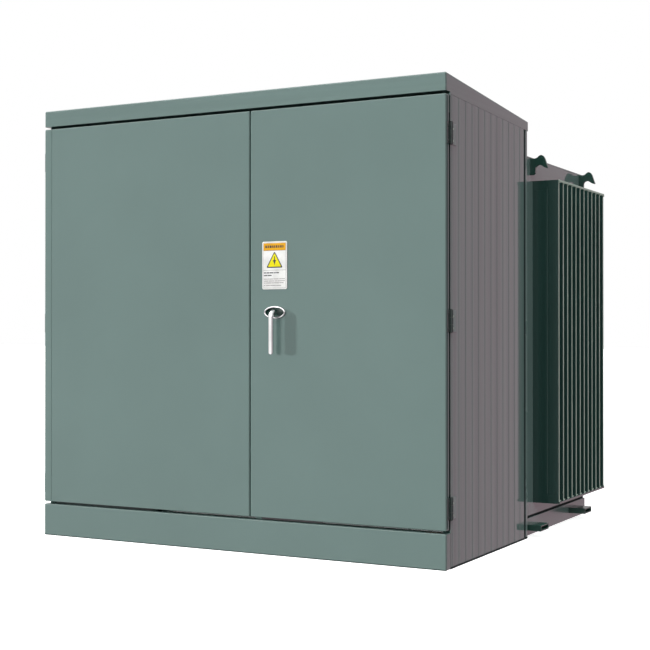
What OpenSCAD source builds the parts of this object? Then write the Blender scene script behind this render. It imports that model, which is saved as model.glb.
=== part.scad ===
// Pad-mounted transformer: steel cabinet with two doors in front of an oil tank with cooling fins.
// Millimetres. +Z is up, the doors face -Y, and X = 0 is the middle of the cabinet.
// The origin is on the ground under the middle of the whole object.

/* [Cabinet] */
// Width of the cabinet over its side panels
cabinet_w = 1695; // [1680:1:1720]
// Depth of the cabinet from the door faces to the tank
cabinet_d = 794; // [780:1:860]
// Height of the roof at its front edge
cabinet_h = 1650; // [1645:1:1700]
// Drop of the roof from front to back
roof_fall = 54; // [20:1:60]
// Depth of the roof's front rim
front_rim_h = 61.5; // [55:0.5:64]
// Height of the lower edge of the roof's side rims
side_rim_z = 1582; // [1574:1:1584]
// Thickness of the cabinet's sheet steel
sheet = 3; // [2:0.5:3]
// Height of the sill under the doors
sill_h = 121; // [100:1:124]
// Clear gap above and below the doors
door_gap = 9.5; // [6:0.5:12]
// Pitch of the grooves in the side panels
groove_pitch = 60; // [50:1:64]

/* [Doors] */
// Place of the line where the doors meet, to the right of the middle
door_split = 90; // [60:1:110]
// Width of the line where the doors meet
split_gap = 4; // [3:0.5:6]
// Depth of the doors' folded edges
door_fold = 25; // [23:1:25]
// Width of the strip beside the left door
stile_w = 35; // [30:1:40]
// Height of a hinge
hinge_h = 72; // [60:1:90]

/* [Handle and latch] */
// Place of the handle, to the right of the middle
handle_x = 193; // [180:1:260]
// Height of the handle's turning centre
handle_z = 858; // [820:1:900]
// Distance of the handle's rod from the door face
handle_stand = 27; // [24:1:34]
// Radius of the handle's rod
handle_r = 9.5; // [8:0.5:9.5]
// Length of the handle below its turning centre
handle_drop = 150; // [120:1:160]
// Radius of the circle that the cam's pins turn on
cam_throw = 30; // [28:1:32]

/* [Tank] */
// Width of the tank
tank_w = 1650; // [1640:1:1660]
// Depth of the tank
tank_d = 804; // [790:1:840]
// Height of the tank's top
tank_h = 1472; // [1460:1:1500]
// Height of the base under the tank
base_h = 67; // [60:1:70]
// Thickness of the tank's plate
plate = 6; // [5:0.5:8]

/* [Cooling fins] */
// Number of fins on each side
fin_count = 12; // [6:1:12]
// Distance from fin to fin
fin_pitch = 54.3; // [45:0.1:58]
// Distance of the first fin's front face behind the tank's front
fin_start = 125; // [115:1:130]
// Reach of the fins out from the tank
fin_reach = 105; // [90:1:125]
// Thickness of a fin
fin_t = 12; // [10:1:16]
// Height of the fins' lower edge
fin_low = 122; // [110:1:200]
// Height of the fins' upper edge
fin_high = 1381; // [1200:1:1390]

/* [High voltage side] */
// Height of the high voltage bushings
hv_z = 1040; // [1000:1:1080]
// Distance between the high voltage bushings
hv_pitch = 215; // [190:1:220]
// Height of the fuse holders and the switch
fuse_z = 640; // [560:1:680]
// Distance between the fuse holders
fuse_pitch = 120; // [110:1:140]

/* [Low voltage side] */
// Height of the low voltage bushings
lv_z = 980; // [900:1:1020]
// Distance between the low voltage bushings
lv_pitch = 165; // [150:1:170]
// Hole spacing in the low voltage terminals
spade_pitch = 44.45; // [40:0.05:46]
// Height of the gauges
gauge_z = 1330; // [1280:1:1360]
// Radius of a gauge case
gauge_r = 52; // [45:1:60]

/* [Core and coils] */
// Distance between the core's limbs
limb_pitch = 450; // [445:1:480]
// Width of a limb and height of the yokes
limb_w = 220; // [200:1:220]
// Depth of the core
core_d = 240; // [220:1:240]
// Height of the window between the yokes
window_h = 640; // [560:1:700]

/* [Hidden] */
$fn = 48;

// Colours
paint = [0.12, 0.20, 0.17];
bright_steel = [0.80, 0.80, 0.78];
zinc = [0.66, 0.67, 0.66];
black = [0.06, 0.06, 0.06];
copper = [0.72, 0.45, 0.30];
epoxy = [0.45, 0.42, 0.38];
white = [0.93, 0.93, 0.91];
core_steel = [0.38, 0.39, 0.41];
rubber = [0.05, 0.05, 0.05];

// Frame: every module works from the door faces (y = 0), and in_place() moves the lot
tank_back = cabinet_d + tank_d;
handle_front = handle_stand + handle_r;
middle_y = (tank_back - handle_front) / 2;
half_w = cabinet_w / 2;
half_tank = tank_w / 2;
// The tank's floor stands on a rail that is a little higher than the base's walls
tank_floor = base_h + 10;

// Doors
door_low = sill_h + door_gap;
door_high = cabinet_h - front_rim_h - door_gap;
right_door_x = door_split + split_gap / 2;
left_door_x = door_split - split_gap / 2;
left_face_x = -half_w + stile_w;
side_fold = 22;
side_start = 37;

// Hinges
hinge_x = half_w + 5.5;
hinge_y = 31;
knuckle_r = 6.5;
pin_r = 3.5;
running_gap = 0.05;
hinge_heights = [202, 825, 1450];
leaf_t = 2.5;
knuckle_gap = 0.5;

// Latch
cup_back = 18;
cam_front = 20;
cam_back = 26;
shaft_end = 26;
cam_pin_r = 4;
pin_angle = 45;
rod_front = 28;
rod_t = 5;
rod_w = 14;
rod_x = 26;
slot_spare = 1.3;

// Tank front fittings stand on this plane
wall_y = cabinet_d;
hv_x = -650;
fuse_x = -650;
switch_x = -190;
lv_x = 210;
tap_x = 210;
level_x = 400;
temperature_x = 560;
relief_x = 730;
drain_x = 480;
drain_z = 190;
fit_gap = 0.2;
hv_inner_r = 34;
lv_inner_r = 30;
fuse_outer_r = 24;
fuse_rod_r = 16;
operator_r = 14;
shaft_r = 7;
gauge_stem_r = 14;
needle_pin_r = 2;
relief_r = 15;
drain_r = 20;
drain_bore_r = 12;

// Openings in the tank's cover
handhole_w = 500;
handhole_d = 320;
handhole_y = cabinet_d + tank_d / 2 + 28;

module in_place() {
    translate([0, -middle_y, 0])
        children();
}

// A box from its lowest corner to its highest
module block(low, high) {
    translate(low)
        cube(high - low);
}

// A cylinder along Y from one y to another
module bar_y(x, z, r, from, to) {
    translate([x, to, z])
        rotate([90, 0, 0])
            cylinder(r = r, h = to - from);
}

// A turned shape about an axis along Y: profile in [radius, distance in front of the tank wall]
module turned_y(x, z, profile) {
    translate([x, wall_y, z])
        rotate([90, 0, 0])
            rotate_extrude()
                polygon(profile);
}

// A slot with round ends, drawn about its centre
module obround(w, h) {
    for (side = [-1, 1])
        translate([side * (w - h) / 2, 0])
            circle(d = h);
    square([w - h, h], center = true);
}

module both_sides() {
    children();
    mirror([1, 0, 0])
        children();
}

// ---- Tank ----

function front_holes() = concat(
    [for (i = [0:2]) [hv_x + i * hv_pitch, hv_z, hv_inner_r]],
    [for (i = [0:2]) [fuse_x + i * fuse_pitch, fuse_z, fuse_outer_r]],
    [for (i = [0:3]) [lv_x + i * lv_pitch, lv_z, lv_inner_r]],
    [[switch_x, fuse_z, operator_r], [tap_x, gauge_z, operator_r]],
    [[level_x, gauge_z, gauge_stem_r], [temperature_x, gauge_z, gauge_stem_r]],
    [[relief_x, gauge_z, relief_r], [drain_x, drain_z, drain_r]]
);

module tank_shell() {
    color(paint) in_place() difference() {
        block([-half_tank, cabinet_d, tank_floor], [half_tank, tank_back, tank_h - plate]);
        block([-half_tank + plate, cabinet_d + plate, tank_floor + plate],
              [half_tank - plate, tank_back - plate, tank_h]);
        for (hole = front_holes())
            bar_y(hole[0], hole[1], hole[2] + fit_gap, cabinet_d - 1, cabinet_d + plate + 1);
    }
}

module tank_cover() {
    color(paint) in_place() difference() {
        block([-half_tank, cabinet_d, tank_h - plate], [half_tank, tank_back, tank_h]);
        translate([0, handhole_y, tank_h - plate - 1])
            linear_extrude(plate + 2)
                square([handhole_w - 80, handhole_d - 80], center = true);
        for (p = handhole_bolt_places())
            translate([p[0], p[1], tank_h - plate - 1])
                cylinder(r = 5.2, h = plate + 2);
    }
}

function handhole_bolt_places() = [
    for (i = [-2:2], s = [-1, 1]) [i * (handhole_w - 40) / 4, handhole_y + s * (handhole_d - 40) / 2],
    for (s = [-1, 1]) [s * (handhole_w - 40) / 2, handhole_y]
];

module handhole_gasket() {
    color(rubber) in_place() difference() {
        block([-handhole_w / 2, handhole_y - handhole_d / 2, tank_h],
              [handhole_w / 2, handhole_y + handhole_d / 2, tank_h + 4]);
        block([-handhole_w / 2 + 40, handhole_y - handhole_d / 2 + 40, tank_h - 1],
              [handhole_w / 2 - 40, handhole_y + handhole_d / 2 - 40, tank_h + 5]);
        for (p = handhole_bolt_places())
            translate([p[0], p[1], tank_h - 1])
                cylinder(r = 5.2, h = 6);
    }
}

module handhole_cover() {
    color(paint) in_place() difference() {
        union() {
            block([-handhole_w / 2, handhole_y - handhole_d / 2, tank_h + 4],
                  [handhole_w / 2, handhole_y + handhole_d / 2, tank_h + 10]);
            for (s = [-1, 1])
                translate([s * 120, handhole_y, tank_h + 10])
                    rotate([0, 90, 90])
                        translate([0, 0, -40])
                            difference() {
                                translate([-18, -5, 0])
                                    cube([18, 10, 80]);
                                translate([-19, -6, 12])
                                    cube([9, 12, 56]);
                            }
        }
        for (p = handhole_bolt_places())
            translate([p[0], p[1], tank_h + 3])
                cylinder(r = 5.2, h = 8);
    }
}

module handhole_bolts() {
    color(zinc) in_place() for (p = handhole_bolt_places())
        translate([p[0], p[1], tank_h - plate - 12]) {
            cylinder(r = 5, h = plate + 22);
            translate([0, 0, plate + 22])
                cylinder(r = 9, h = 7, $fn = 6);
            translate([0, 0, 2])
                cylinder(r = 9, h = 8, $fn = 6);
        }
}

anchor_x = 700;
anchor_y1 = cabinet_d + 60;
anchor_y2 = tank_back - 60;

// Rail under the tank's floor: its reach in from the base's outer faces, and its depth below the walls' tops
rail_reach = 40;
rail_drop = 20;
flange_reach = 110;

// The base frame's four walls
module base_skirt() {
    color(paint) in_place() difference() {
        block([-half_tank, cabinet_d, 0], [half_tank, tank_back, base_h]);
        block([-half_tank + plate, cabinet_d + plate, -1],
              [half_tank - plate, tank_back - plate, base_h + 1]);
    }
}

// Bottom flange inside the walls, with the anchor holes
module base_flanges() {
    color(paint) in_place() difference() {
        block([-half_tank + plate, cabinet_d + plate, 0], [half_tank - plate, tank_back - plate, plate]);
        block([-half_tank + flange_reach, cabinet_d + flange_reach, -1],
              [half_tank - flange_reach, tank_back - flange_reach, plate + 1]);
        for (x = [-anchor_x, anchor_x], y = [anchor_y1, anchor_y2])
            translate([x, y, -1])
                cylinder(r = 9, h = plate + 2);
    }
}

// Rail that the tank's floor rests on, set in from the walls' outer faces, and the ribs between its sides
module base_rails() {
    color(paint) in_place() union() {
        difference() {
            block([-half_tank + plate, cabinet_d + plate, base_h - rail_drop],
                  [half_tank - plate, tank_back - plate, tank_floor]);
            block([-half_tank + rail_reach, cabinet_d + rail_reach, base_h - rail_drop - 1],
                  [half_tank - rail_reach, tank_back - rail_reach, tank_floor + 1]);
        }
        for (x = [-412, 0, 412])
            block([x - 6, cabinet_d + rail_reach, plate], [x + 6, tank_back - rail_reach, tank_floor]);
    }
}

lug_w = 90;
lug_reach = 72;
lug_low = 27;
lug_high = 50;
lug_wall = 5;

module jacking_lugs() {
    color(paint) in_place() both_sides() for (y = [808, 1368])
        difference() {
            block([half_tank, y, lug_low], [half_tank + lug_reach, y + lug_w, lug_high]);
            block([half_tank - 1, y + lug_wall, lug_low + lug_wall],
                  [half_tank + lug_reach + 1, y + lug_w - lug_wall, lug_high - lug_wall]);
        }
}

hook_t = 12;
hook_outline = [
    [0, -70], [14, -70], [22, -62], [22.5, -46], [27, -37], [38, -33], [49, -37], [59, -43.5],
    [72, -45], [66, -28], [60, -10.5], [54, 1], [44, 5.5], [35, 2], [28, -4], [12, -6.5], [0, -3]
];

module lifting_hooks() {
    color(paint) in_place() both_sides() for (y = [891, 1514])
        translate([half_tank, y + hook_t, tank_h])
            rotate([90, 0, 0])
                linear_extrude(hook_t)
                    polygon(hook_outline);
}

// ---- Cooling fins ----

function fin_y(i) = cabinet_d + fin_start + i * fin_pitch;

module fin_bank() {
    for (i = [0:fin_count - 1])
        block([half_tank, fin_y(i), fin_low],
              [half_tank + fin_reach, fin_y(i) + fin_t, fin_high]);
}

module right_cooling_fins() {
    color(paint) in_place() fin_bank();
}

module left_cooling_fins() {
    color(paint) in_place() mirror([1, 0, 0]) fin_bank();
}

// Flat bars along the fins' outer edges, at their top and bottom
bar_h = 8;
bar_t = 4;

module fin_tie_bars() {
    fin_edge = half_tank + fin_reach;
    bar_end = fin_y(fin_count - 1) + fin_t;
    color(paint) in_place() both_sides() for (z = [fin_low, fin_high - bar_h])
        block([fin_edge, fin_y(0), z], [fin_edge + bar_t, bar_end, z + bar_h]);
}

// ---- Cabinet ----

// Lower edge of the hood's sides, which falls towards the back
function rim_z(y) = side_rim_z - rim_fall * y / cabinet_d;

// An upright sheet in the side panel, from low_x to high_x: its top runs a given height above the hood's lower edge
module side_sheet(low_x, high_x, from, to, low_z, above) {
    translate([low_x, 0, 0])
        rotate([90, 0, 90])
            linear_extrude(high_x - low_x)
                polygon([[from, low_z], [to, low_z], [to, rim_z(to) + above], [from, rim_z(from) + above]]);
}

module side_panel() {
    lap = 40;
    difference() {
        union() {
            side_sheet(half_w - sheet, half_w, side_start, cabinet_d, 0, -0.5);
            side_sheet(half_w - 2 * sheet, half_w - sheet, side_start, cabinet_d - 4, rim_z(cabinet_d) - lap, 14);
            block([half_w - 28, side_start, 0], [half_w - sheet, side_start + sheet, rim_z(cabinet_d) - lap]);
            block([half_w - 60, cabinet_d - sheet, 0], [half_w - sheet, cabinet_d, rim_z(cabinet_d) - sheet]);
            block([half_w - 45, side_start, 0], [half_w - sheet, cabinet_d - 4, sheet]);
        }
        for (y = [side_start + 70 : groove_pitch : cabinet_d - 40])
            block([half_w - 1.2, y, -1], [half_w + 1, y + 3, side_rim_z + 1]);
    }
}

module right_side_panel() {
    color(paint) in_place() side_panel();
}

module left_side_panel() {
    color(paint) in_place() mirror([1, 0, 0]) side_panel();
}

roof_back_z = cabinet_h - roof_fall;
roof_over = 12;
rim_fall = 22;
front_rim_z = cabinet_h - front_rim_h;

// The hood's profile from the side, drawn in from the outside by a wall thickness
module hood_profile(wall) {
    back = cabinet_d + roof_over;
    polygon([
        [wall, rim_z(0) - wall], [wall, cabinet_h - wall], [back - wall, roof_back_z - wall],
        [back - wall, rim_z(back) - wall]
    ]);
}

module roof_hood() {
    color(paint) in_place() union() {
        difference() {
            translate([-half_w, 0, 0])
                rotate([90, 0, 90])
                    linear_extrude(cabinet_w)
                        hood_profile(0);
            translate([-half_w + sheet, 0, 0])
                rotate([90, 0, 90])
                    linear_extrude(cabinet_w - 2 * sheet)
                        hood_profile(sheet);
            block([-half_w - 1, -1, rim_z(cabinet_d)], [half_w + 1, side_start, front_rim_z]);
        }
        block([-half_w, 0, front_rim_z], [half_w, 30, front_rim_z + sheet]);
    }
}

module back_panel() {
    color(paint) in_place() union() {
        block([-half_w + 8, cabinet_d - 2 * sheet, tank_h - 60], [half_w - 8, cabinet_d - sheet, rim_z(cabinet_d) + 15]);
        block([-half_tank + 60, cabinet_d - sheet, tank_h - 60], [half_tank - 60, cabinet_d, tank_h - 20]);
    }
}

module front_sill() {
    color(paint) in_place() difference() {
        block([-half_w, 0, 0], [half_w, side_start - 2, sill_h]);
        block([-half_w + sheet, sheet, sheet], [half_w - sheet, side_start, sill_h - sheet]);
        for (x = [-600, 600])
            translate([x, 22, -1])
                cylinder(r = 7, h = sheet + 2);
    }
}

module compartment_barrier() {
    color(paint) in_place() difference() {
        union() {
            block([door_split - sheet / 2, 45, 40], [door_split + sheet / 2, cabinet_d, rim_z(cabinet_d)]);
            block([door_split + sheet / 2, cabinet_d - sheet, 80], [door_split + 30, cabinet_d, tank_h - 70]);
            block([door_split + sheet / 2, 45, 40], [door_split + 22, 45 + sheet, rim_z(cabinet_d)]);
        }
        block([door_split - sheet, cabinet_d - 2 * sheet - 0.5, tank_h - 62],
              [door_split + sheet, cabinet_d + 1, side_rim_z + 1]);
    }
}

// ---- Hinges ----

// Three knuckles to a hinge: the cabinet's at both ends, the door's in the middle
third = hinge_h / 3;

module body_leaf(z) {
    for (low = [z - hinge_h / 2, z + hinge_h / 2 - third + knuckle_gap])
        difference() {
            union() {
                translate([hinge_x, hinge_y, low])
                    cylinder(r = knuckle_r, h = third - knuckle_gap);
                block([half_w, hinge_y + 3.4, low], [half_w + leaf_t, hinge_y + 8, low + third - knuckle_gap]);
            }
            translate([hinge_x, hinge_y, low - 1])
                cylinder(r = pin_r, h = third + 2);
        }
    block([half_w, hinge_y + 7.5, z - hinge_h / 2], [half_w + leaf_t, 82, z + hinge_h / 2]);
    for (dz = [-22, 22])
        translate([half_w + leaf_t, 66, z + dz])
            rotate([0, 90, 0])
                cylinder(r = 6.5, h = 3);
}

module door_leaf(z) {
    difference() {
        union() {
            translate([hinge_x, hinge_y, z - third / 2])
                cylinder(r = knuckle_r, h = third);
            block([half_w, hinge_y - 8, z - third / 2], [half_w + leaf_t, hinge_y - 3.4, z + third / 2]);
        }
        translate([hinge_x, hinge_y, z - third])
            cylinder(r = pin_r + running_gap, h = 2 * third);
    }
    block([half_w, 4, z - hinge_h / 2], [half_w + leaf_t, hinge_y - 7.5, z + hinge_h / 2]);
    for (dz = [-26, 26])
        translate([half_w + leaf_t, 12, z + dz])
            rotate([0, 90, 0])
                cylinder(r = 5, h = 2);
}

module hinge_body_leaves() {
    color(bright_steel) in_place() both_sides() for (z = hinge_heights)
        body_leaf(z);
}

module hinge_pins() {
    color(bright_steel) in_place() both_sides() for (z = hinge_heights)
        translate([hinge_x, hinge_y, z - hinge_h / 2 - 3]) {
            cylinder(r = pin_r, h = hinge_h + 6);
            cylinder(r = 5, h = 3);
            translate([0, 0, hinge_h + 3])
                cylinder(r = 5, h = 3);
        }
}

module right_door_hinge_leaves() {
    color(bright_steel) in_place() for (z = hinge_heights)
        door_leaf(z);
}

module left_door_hinge_leaves() {
    color(bright_steel) in_place() mirror([1, 0, 0]) for (z = hinge_heights)
        door_leaf(z);
}

// ---- Doors ----

cup_w = 73;
cup_h = 36;

module right_door_panel() {
    color(paint) in_place() difference() {
        block([right_door_x, 0, door_low], [half_w, door_fold, door_high]);
        block([right_door_x + sheet, sheet, door_low + sheet],
              [half_w - sheet, door_fold + 1, door_high - sheet]);
        block([half_w - 12, side_fold, door_low - 1], [half_w + 1, door_fold + 1, door_high + 1]);
        translate([handle_x, sheet + 1, handle_z])
            rotate([90, 0, 0])
                linear_extrude(sheet + 2)
                    obround(cup_w, cup_h);
    }
}

module door_channel(from, to, z) {
    difference() {
        block([from, sheet, z - 25], [to, 21, z + 25]);
        block([from - 1, sheet - 1, z - 22], [to + 1, 18, z + 22]);
    }
}

module right_door_stiffeners() {
    color(paint) in_place() for (z = [430, 1270])
        door_channel(right_door_x + 15, half_w - 15, z);
}

module left_door_panel() {
    color(paint) in_place() difference() {
        block([left_face_x, 0, door_low], [left_door_x, door_fold, door_high]);
        block([left_face_x - 1, sheet, door_low + sheet],
              [left_door_x - sheet, door_fold + 1, door_high - sheet]);
    }
}

module left_door_stile() {
    color(paint) in_place() union() {
        block([-half_w, 0, door_low], [left_face_x - 1.5, sheet, door_high]);
        block([-half_w, 0, door_low], [-half_w + sheet, side_fold, door_high]);
        block([-half_w + sheet, sheet, door_low + 4], [left_face_x + 25, 2 * sheet, door_high - 4]);
    }
}

module left_door_stiffeners() {
    color(paint) in_place() for (z = [430, 1270])
        door_channel(left_face_x + 35, left_door_x - 15, z);
}

label_low = [142, 940];
label_high = [243, 1109];
label_t = 1.5;

module label_plate() {
    corner = 6;
    color(white) in_place()
        rotate([90, 0, 0])
            linear_extrude(label_t) {
                for (x = [label_low[0] + corner, label_high[0] - corner],
                     z = [label_low[1] + corner, label_high[1] - corner])
                    translate([x, z])
                        circle(r = corner);
                translate([label_low[0] + corner, label_low[1]])
                    square([label_high[0] - label_low[0] - 2 * corner, label_high[1] - label_low[1]]);
                translate([label_low[0], label_low[1] + corner])
                    square([label_high[0] - label_low[0], label_high[1] - label_low[1] - 2 * corner]);
            }
}

// ---- Handle and latch ----

module handle_escutcheon() {
    color(bright_steel) in_place() difference() {
        union() {
            translate([handle_x, 0, handle_z])
                rotate([90, 0, 0])
                    linear_extrude(6)
                        obround(87, 46);
            translate([handle_x, cup_back, handle_z])
                rotate([90, 0, 0])
                    linear_extrude(cup_back)
                        obround(cup_w - 0.4, cup_h - 0.4);
        }
        translate([handle_x, cup_back - 3, handle_z])
            rotate([90, 0, 0])
                linear_extrude(cup_back + 6)
                    obround(cup_w - 5, cup_h - 5);
        bar_y(handle_x, handle_z, handle_r + running_gap, cup_back - 4, cup_back + 1);
    }
}

bend_r = 15;

module door_handle() {
    color(bright_steel) in_place() union() {
        bar_y(handle_x, handle_z, handle_r, -handle_stand + bend_r, shaft_end);
        translate([handle_x, -handle_stand + bend_r, handle_z - bend_r])
            rotate([90, 0, 90])
                rotate([0, 0, 90])
                    rotate_extrude(angle = 90)
                        translate([bend_r, 0])
                            circle(r = handle_r);
        translate([handle_x, -handle_stand, handle_z - handle_drop + 3])
            cylinder(r = handle_r, h = handle_drop - bend_r - 3);
        translate([handle_x, -handle_stand, handle_z - handle_drop])
            cylinder(r1 = handle_r - 3, r2 = handle_r, h = 3);
    }
}

cam_pin_x = cam_throw * cos(pin_angle);
cam_pin_z = cam_throw * sin(pin_angle);

module latch_cam() {
    color(zinc) in_place() union() {
        difference() {
            bar_y(handle_x, handle_z, cam_throw + 8, cam_front, cam_back);
            bar_y(handle_x, handle_z, handle_r, cam_front - 1, cam_back + 1);
        }
        for (side = [-1, 1])
            bar_y(handle_x + side * cam_pin_x, handle_z - side * cam_pin_z, cam_pin_r,
                  cam_back - 1, rod_front + rod_t + 3);
    }
}

yoke_w = 28;
yoke_h = 24;
rod_tip = 5;

// A latch rod reaching up from the cam's pin: a slotted yoke plate with the rod above it
module latch_rod(reach) {
    slot_h = 2 * (cam_pin_r + slot_spare);
    slot_mid = (cam_throw + cam_pin_x) / 2;
    slot_w = cam_throw - cam_pin_x + 2 * cam_pin_r + 4;
    difference() {
        union() {
            block([slot_mid - yoke_w / 2, rod_front, cam_pin_z - yoke_h / 2],
                  [slot_mid + yoke_w / 2, rod_front + rod_t, cam_pin_z + yoke_h / 2]);
            block([rod_x - rod_w / 2, rod_front, cam_pin_z],
                  [rod_x + rod_w / 2, rod_front + rod_t, reach - rod_tip]);
            block([rod_x - rod_w / 2 + 3, rod_front, reach - rod_tip - 1],
                  [rod_x + rod_w / 2 - 3, rod_front + rod_t, reach]);
        }
        translate([slot_mid, rod_front + rod_t + 1, cam_pin_z])
            rotate([90, 0, 0])
                linear_extrude(rod_t + 2)
                    square([slot_w, slot_h], center = true);
    }
}

module upper_latch_rod() {
    color(zinc) in_place() translate([handle_x, 0, handle_z])
        mirror([1, 0, 0])
            latch_rod(door_high + 4 - handle_z);
}

module lower_latch_rod() {
    color(zinc) in_place() translate([handle_x, 0, handle_z])
        mirror([0, 0, 1])
            latch_rod(handle_z - door_low + 4);
}

module rod_guide(x, z) {
    difference() {
        block([x - 15, sheet, z - 7], [x + 15, rod_front + rod_t + 5, z + 7]);
        block([x - rod_w / 2 - 0.5, rod_front - 0.5, z - 8], [x + rod_w / 2 + 0.5, rod_front + rod_t + 0.5, z + 8]);
    }
}

module latch_rod_guides() {
    color(zinc) in_place() union() {
        for (z = [1030, 1500])
            rod_guide(handle_x - rod_x, z);
        for (z = [210, 690])
            rod_guide(handle_x + rod_x, z);
    }
}

// ---- High voltage side ----

module hv_bushings() {
    color(epoxy) in_place() for (i = [0:2])
        turned_y(hv_x + i * hv_pitch, hv_z, [
            [0, -110], [26, -110], [hv_inner_r, -100], [hv_inner_r, 0], [62, 0], [62, 14], [46, 14],
            [44, 40], [38, 46], [30, 52], [26, 120], [8, 120], [8, 60], [0, 60]
        ]);
}

module parking_stands() {
    color(bright_steel) in_place() for (i = [0:2]) {
        x = hv_x + (i + 0.5) * hv_pitch;
        block([x - 35, wall_y - 3, hv_z + 60], [x + 35, wall_y, hv_z + 160]);
        difference() {
            block([x - 35, wall_y - 70, hv_z + 100], [x + 35, wall_y - 2, hv_z + 104]);
            translate([x, wall_y - 38, hv_z + 99])
                cylinder(r = 14, h = 6);
            block([x - 8, wall_y - 71, hv_z + 99], [x + 8, wall_y - 40, hv_z + 105]);
        }
    }
}

module fuse_housings() {
    color(epoxy) in_place() for (i = [0:2])
        difference() {
            turned_y(fuse_x + i * fuse_pitch, fuse_z, [
                [0, -180], [fuse_outer_r, -180], [fuse_outer_r, 0], [42, 0], [42, 10], [28, 12],
                [28, 60], [0, 60]
            ]);
            bar_y(fuse_x + i * fuse_pitch, fuse_z, fuse_rod_r + running_gap, wall_y - 61, wall_y + 170);
        }
}

// A fuse holder: the long carrier inside the housing, its cap and the eye for a hook stick
module fuse_holder(i) {
    x = fuse_x + i * fuse_pitch;
    bar_y(x, fuse_z, fuse_rod_r, wall_y - 62, wall_y + 150);
    bar_y(x, fuse_z, 27, wall_y - 80, wall_y - 61);
    bar_y(x, fuse_z, 12, wall_y - 96, wall_y - 79);
    translate([x, wall_y - 112, fuse_z])
        rotate([0, 90, 0])
            rotate_extrude()
                translate([16, 0])
                    circle(r = 4.5);
}

module left_fuse_holder() {
    color(black) in_place() fuse_holder(0);
}

module middle_fuse_holder() {
    color(black) in_place() fuse_holder(1);
}

module right_fuse_holder() {
    color(black) in_place() fuse_holder(2);
}

operators = [[switch_x, fuse_z], [tap_x, gauge_z]];

module operator_housings() {
    color(zinc) in_place() for (p = operators)
        difference() {
            turned_y(p[0], p[1], [
                [0, -60], [operator_r, -60], [operator_r, 0], [38, 0], [38, 8], [24, 10], [24, 30], [0, 30]
            ]);
            bar_y(p[0], p[1], shaft_r + running_gap, wall_y - 31, wall_y + 61);
        }
}

// A handle for a hook stick: hub, shaft into the tank, and a bar with an eye at each end
module operator_handle(x, z, reach) {
    difference() {
        union() {
            bar_y(x, z, shaft_r, wall_y - 32, wall_y + 70);
            bar_y(x, z, 24, wall_y - 52, wall_y - 31);
            block([x - reach, wall_y - 48, z - 11], [x + reach, wall_y - 36, z + 11]);
            for (s = [-1, 1])
                bar_y(x + s * reach, z, 18, wall_y - 48, wall_y - 36);
        }
        for (s = [-1, 1])
            bar_y(x + s * reach, z, 9, wall_y - 60, wall_y - 30);
    }
}

module switch_handle() {
    color([0.75, 0.15, 0.10]) in_place() operator_handle(switch_x, fuse_z, 58);
}

module tap_changer_knob() {
    color(black) in_place() operator_handle(tap_x, gauge_z, 40);
}

// ---- Low voltage side ----

module lv_bushings() {
    color(epoxy) in_place() for (i = [0:3])
        difference() {
            turned_y(lv_x + i * lv_pitch, lv_z, [
                [0, -60], [lv_inner_r, -60], [lv_inner_r, 0], [54, 0], [54, 12], [42, 16], [44, 30],
                [38, 34], [40, 48], [32, 54], [32, 66], [0, 66]
            ]);
            bar_y(lv_x + i * lv_pitch, lv_z, 14 + fit_gap, wall_y - 67, wall_y + 61);
        }
}

spade_front = wall_y - 230;
spade_mid_y = spade_front + 50;
spade_half = 44;
spade_t = 12;

module lv_terminals() {
    color(copper) in_place() for (i = [0:3])
        difference() {
            union() {
                bar_y(lv_x + i * lv_pitch, lv_z, 14, wall_y - 120, wall_y + 110);
                bar_y(lv_x + i * lv_pitch, lv_z, 24, wall_y - 100, wall_y - 66);
                block([lv_x + i * lv_pitch - spade_t / 2, spade_front, lv_z - spade_half],
                      [lv_x + i * lv_pitch + spade_t / 2, wall_y - 110, lv_z + spade_half]);
            }
            for (dy = [-0.5, 0.5], dz = [-0.5, 0.5])
                translate([lv_x + i * lv_pitch - spade_t, spade_mid_y + dy * spade_pitch, lv_z + dz * spade_pitch])
                    rotate([0, 90, 0])
                        cylinder(r = 7.15, h = 2 * spade_t);
        }
}

gauge_places = [level_x, temperature_x];

module gauge_cases() {
    color(bright_steel) in_place() for (x = gauge_places)
        difference() {
            turned_y(x, gauge_z, [
                [0, -50], [gauge_stem_r, -50], [gauge_stem_r, 0], [30, 0], [30, 6], [gauge_r, 8],
                [gauge_r, 44], [gauge_r - 4, 44], [gauge_r - 4, 12], [0, 12]
            ]);
            bar_y(x, gauge_z, needle_pin_r + running_gap, wall_y - 13, wall_y + 20);
        }
}

module gauge_glasses() {
    color([0.8, 0.9, 0.9]) in_place() for (x = gauge_places)
        bar_y(x, gauge_z, gauge_r - 4 - fit_gap, wall_y - 43, wall_y - 40);
}

// A gauge needle, turned clockwise from upright as seen from the front
module needle(x, turn) {
    bar_y(x, gauge_z, needle_pin_r, wall_y - 20, wall_y + 10);
    bar_y(x, gauge_z, 5, wall_y - 22, wall_y - 16);
    translate([x, wall_y - 19, gauge_z])
        rotate([0, turn, 0])
            translate([-1.5, 0, -12])
                cube([3, 1.5, 50]);
}

module level_needle() {
    color(black) in_place() needle(level_x, 0);
}

module temperature_needle() {
    color(black) in_place() needle(temperature_x, -100);
}

module relief_valve() {
    color([0.70, 0.55, 0.25]) in_place() difference() {
        turned_y(relief_x, gauge_z, [
            [0, -20], [relief_r, -20], [relief_r, 0], [22, 0], [22, 14], [16, 16], [16, 40], [12, 46], [0, 46]
        ]);
        bar_y(relief_x, gauge_z, 3 + running_gap, wall_y - 47, wall_y + 12);
    }
}

module relief_ring() {
    color(bright_steel) in_place() union() {
        bar_y(relief_x, gauge_z, 3, wall_y - 60, wall_y + 5);
        translate([relief_x, wall_y - 72, gauge_z])
            rotate([0, 90, 0])
                rotate_extrude()
                    translate([13, 0])
                        circle(r = 2);
    }
}

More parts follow.
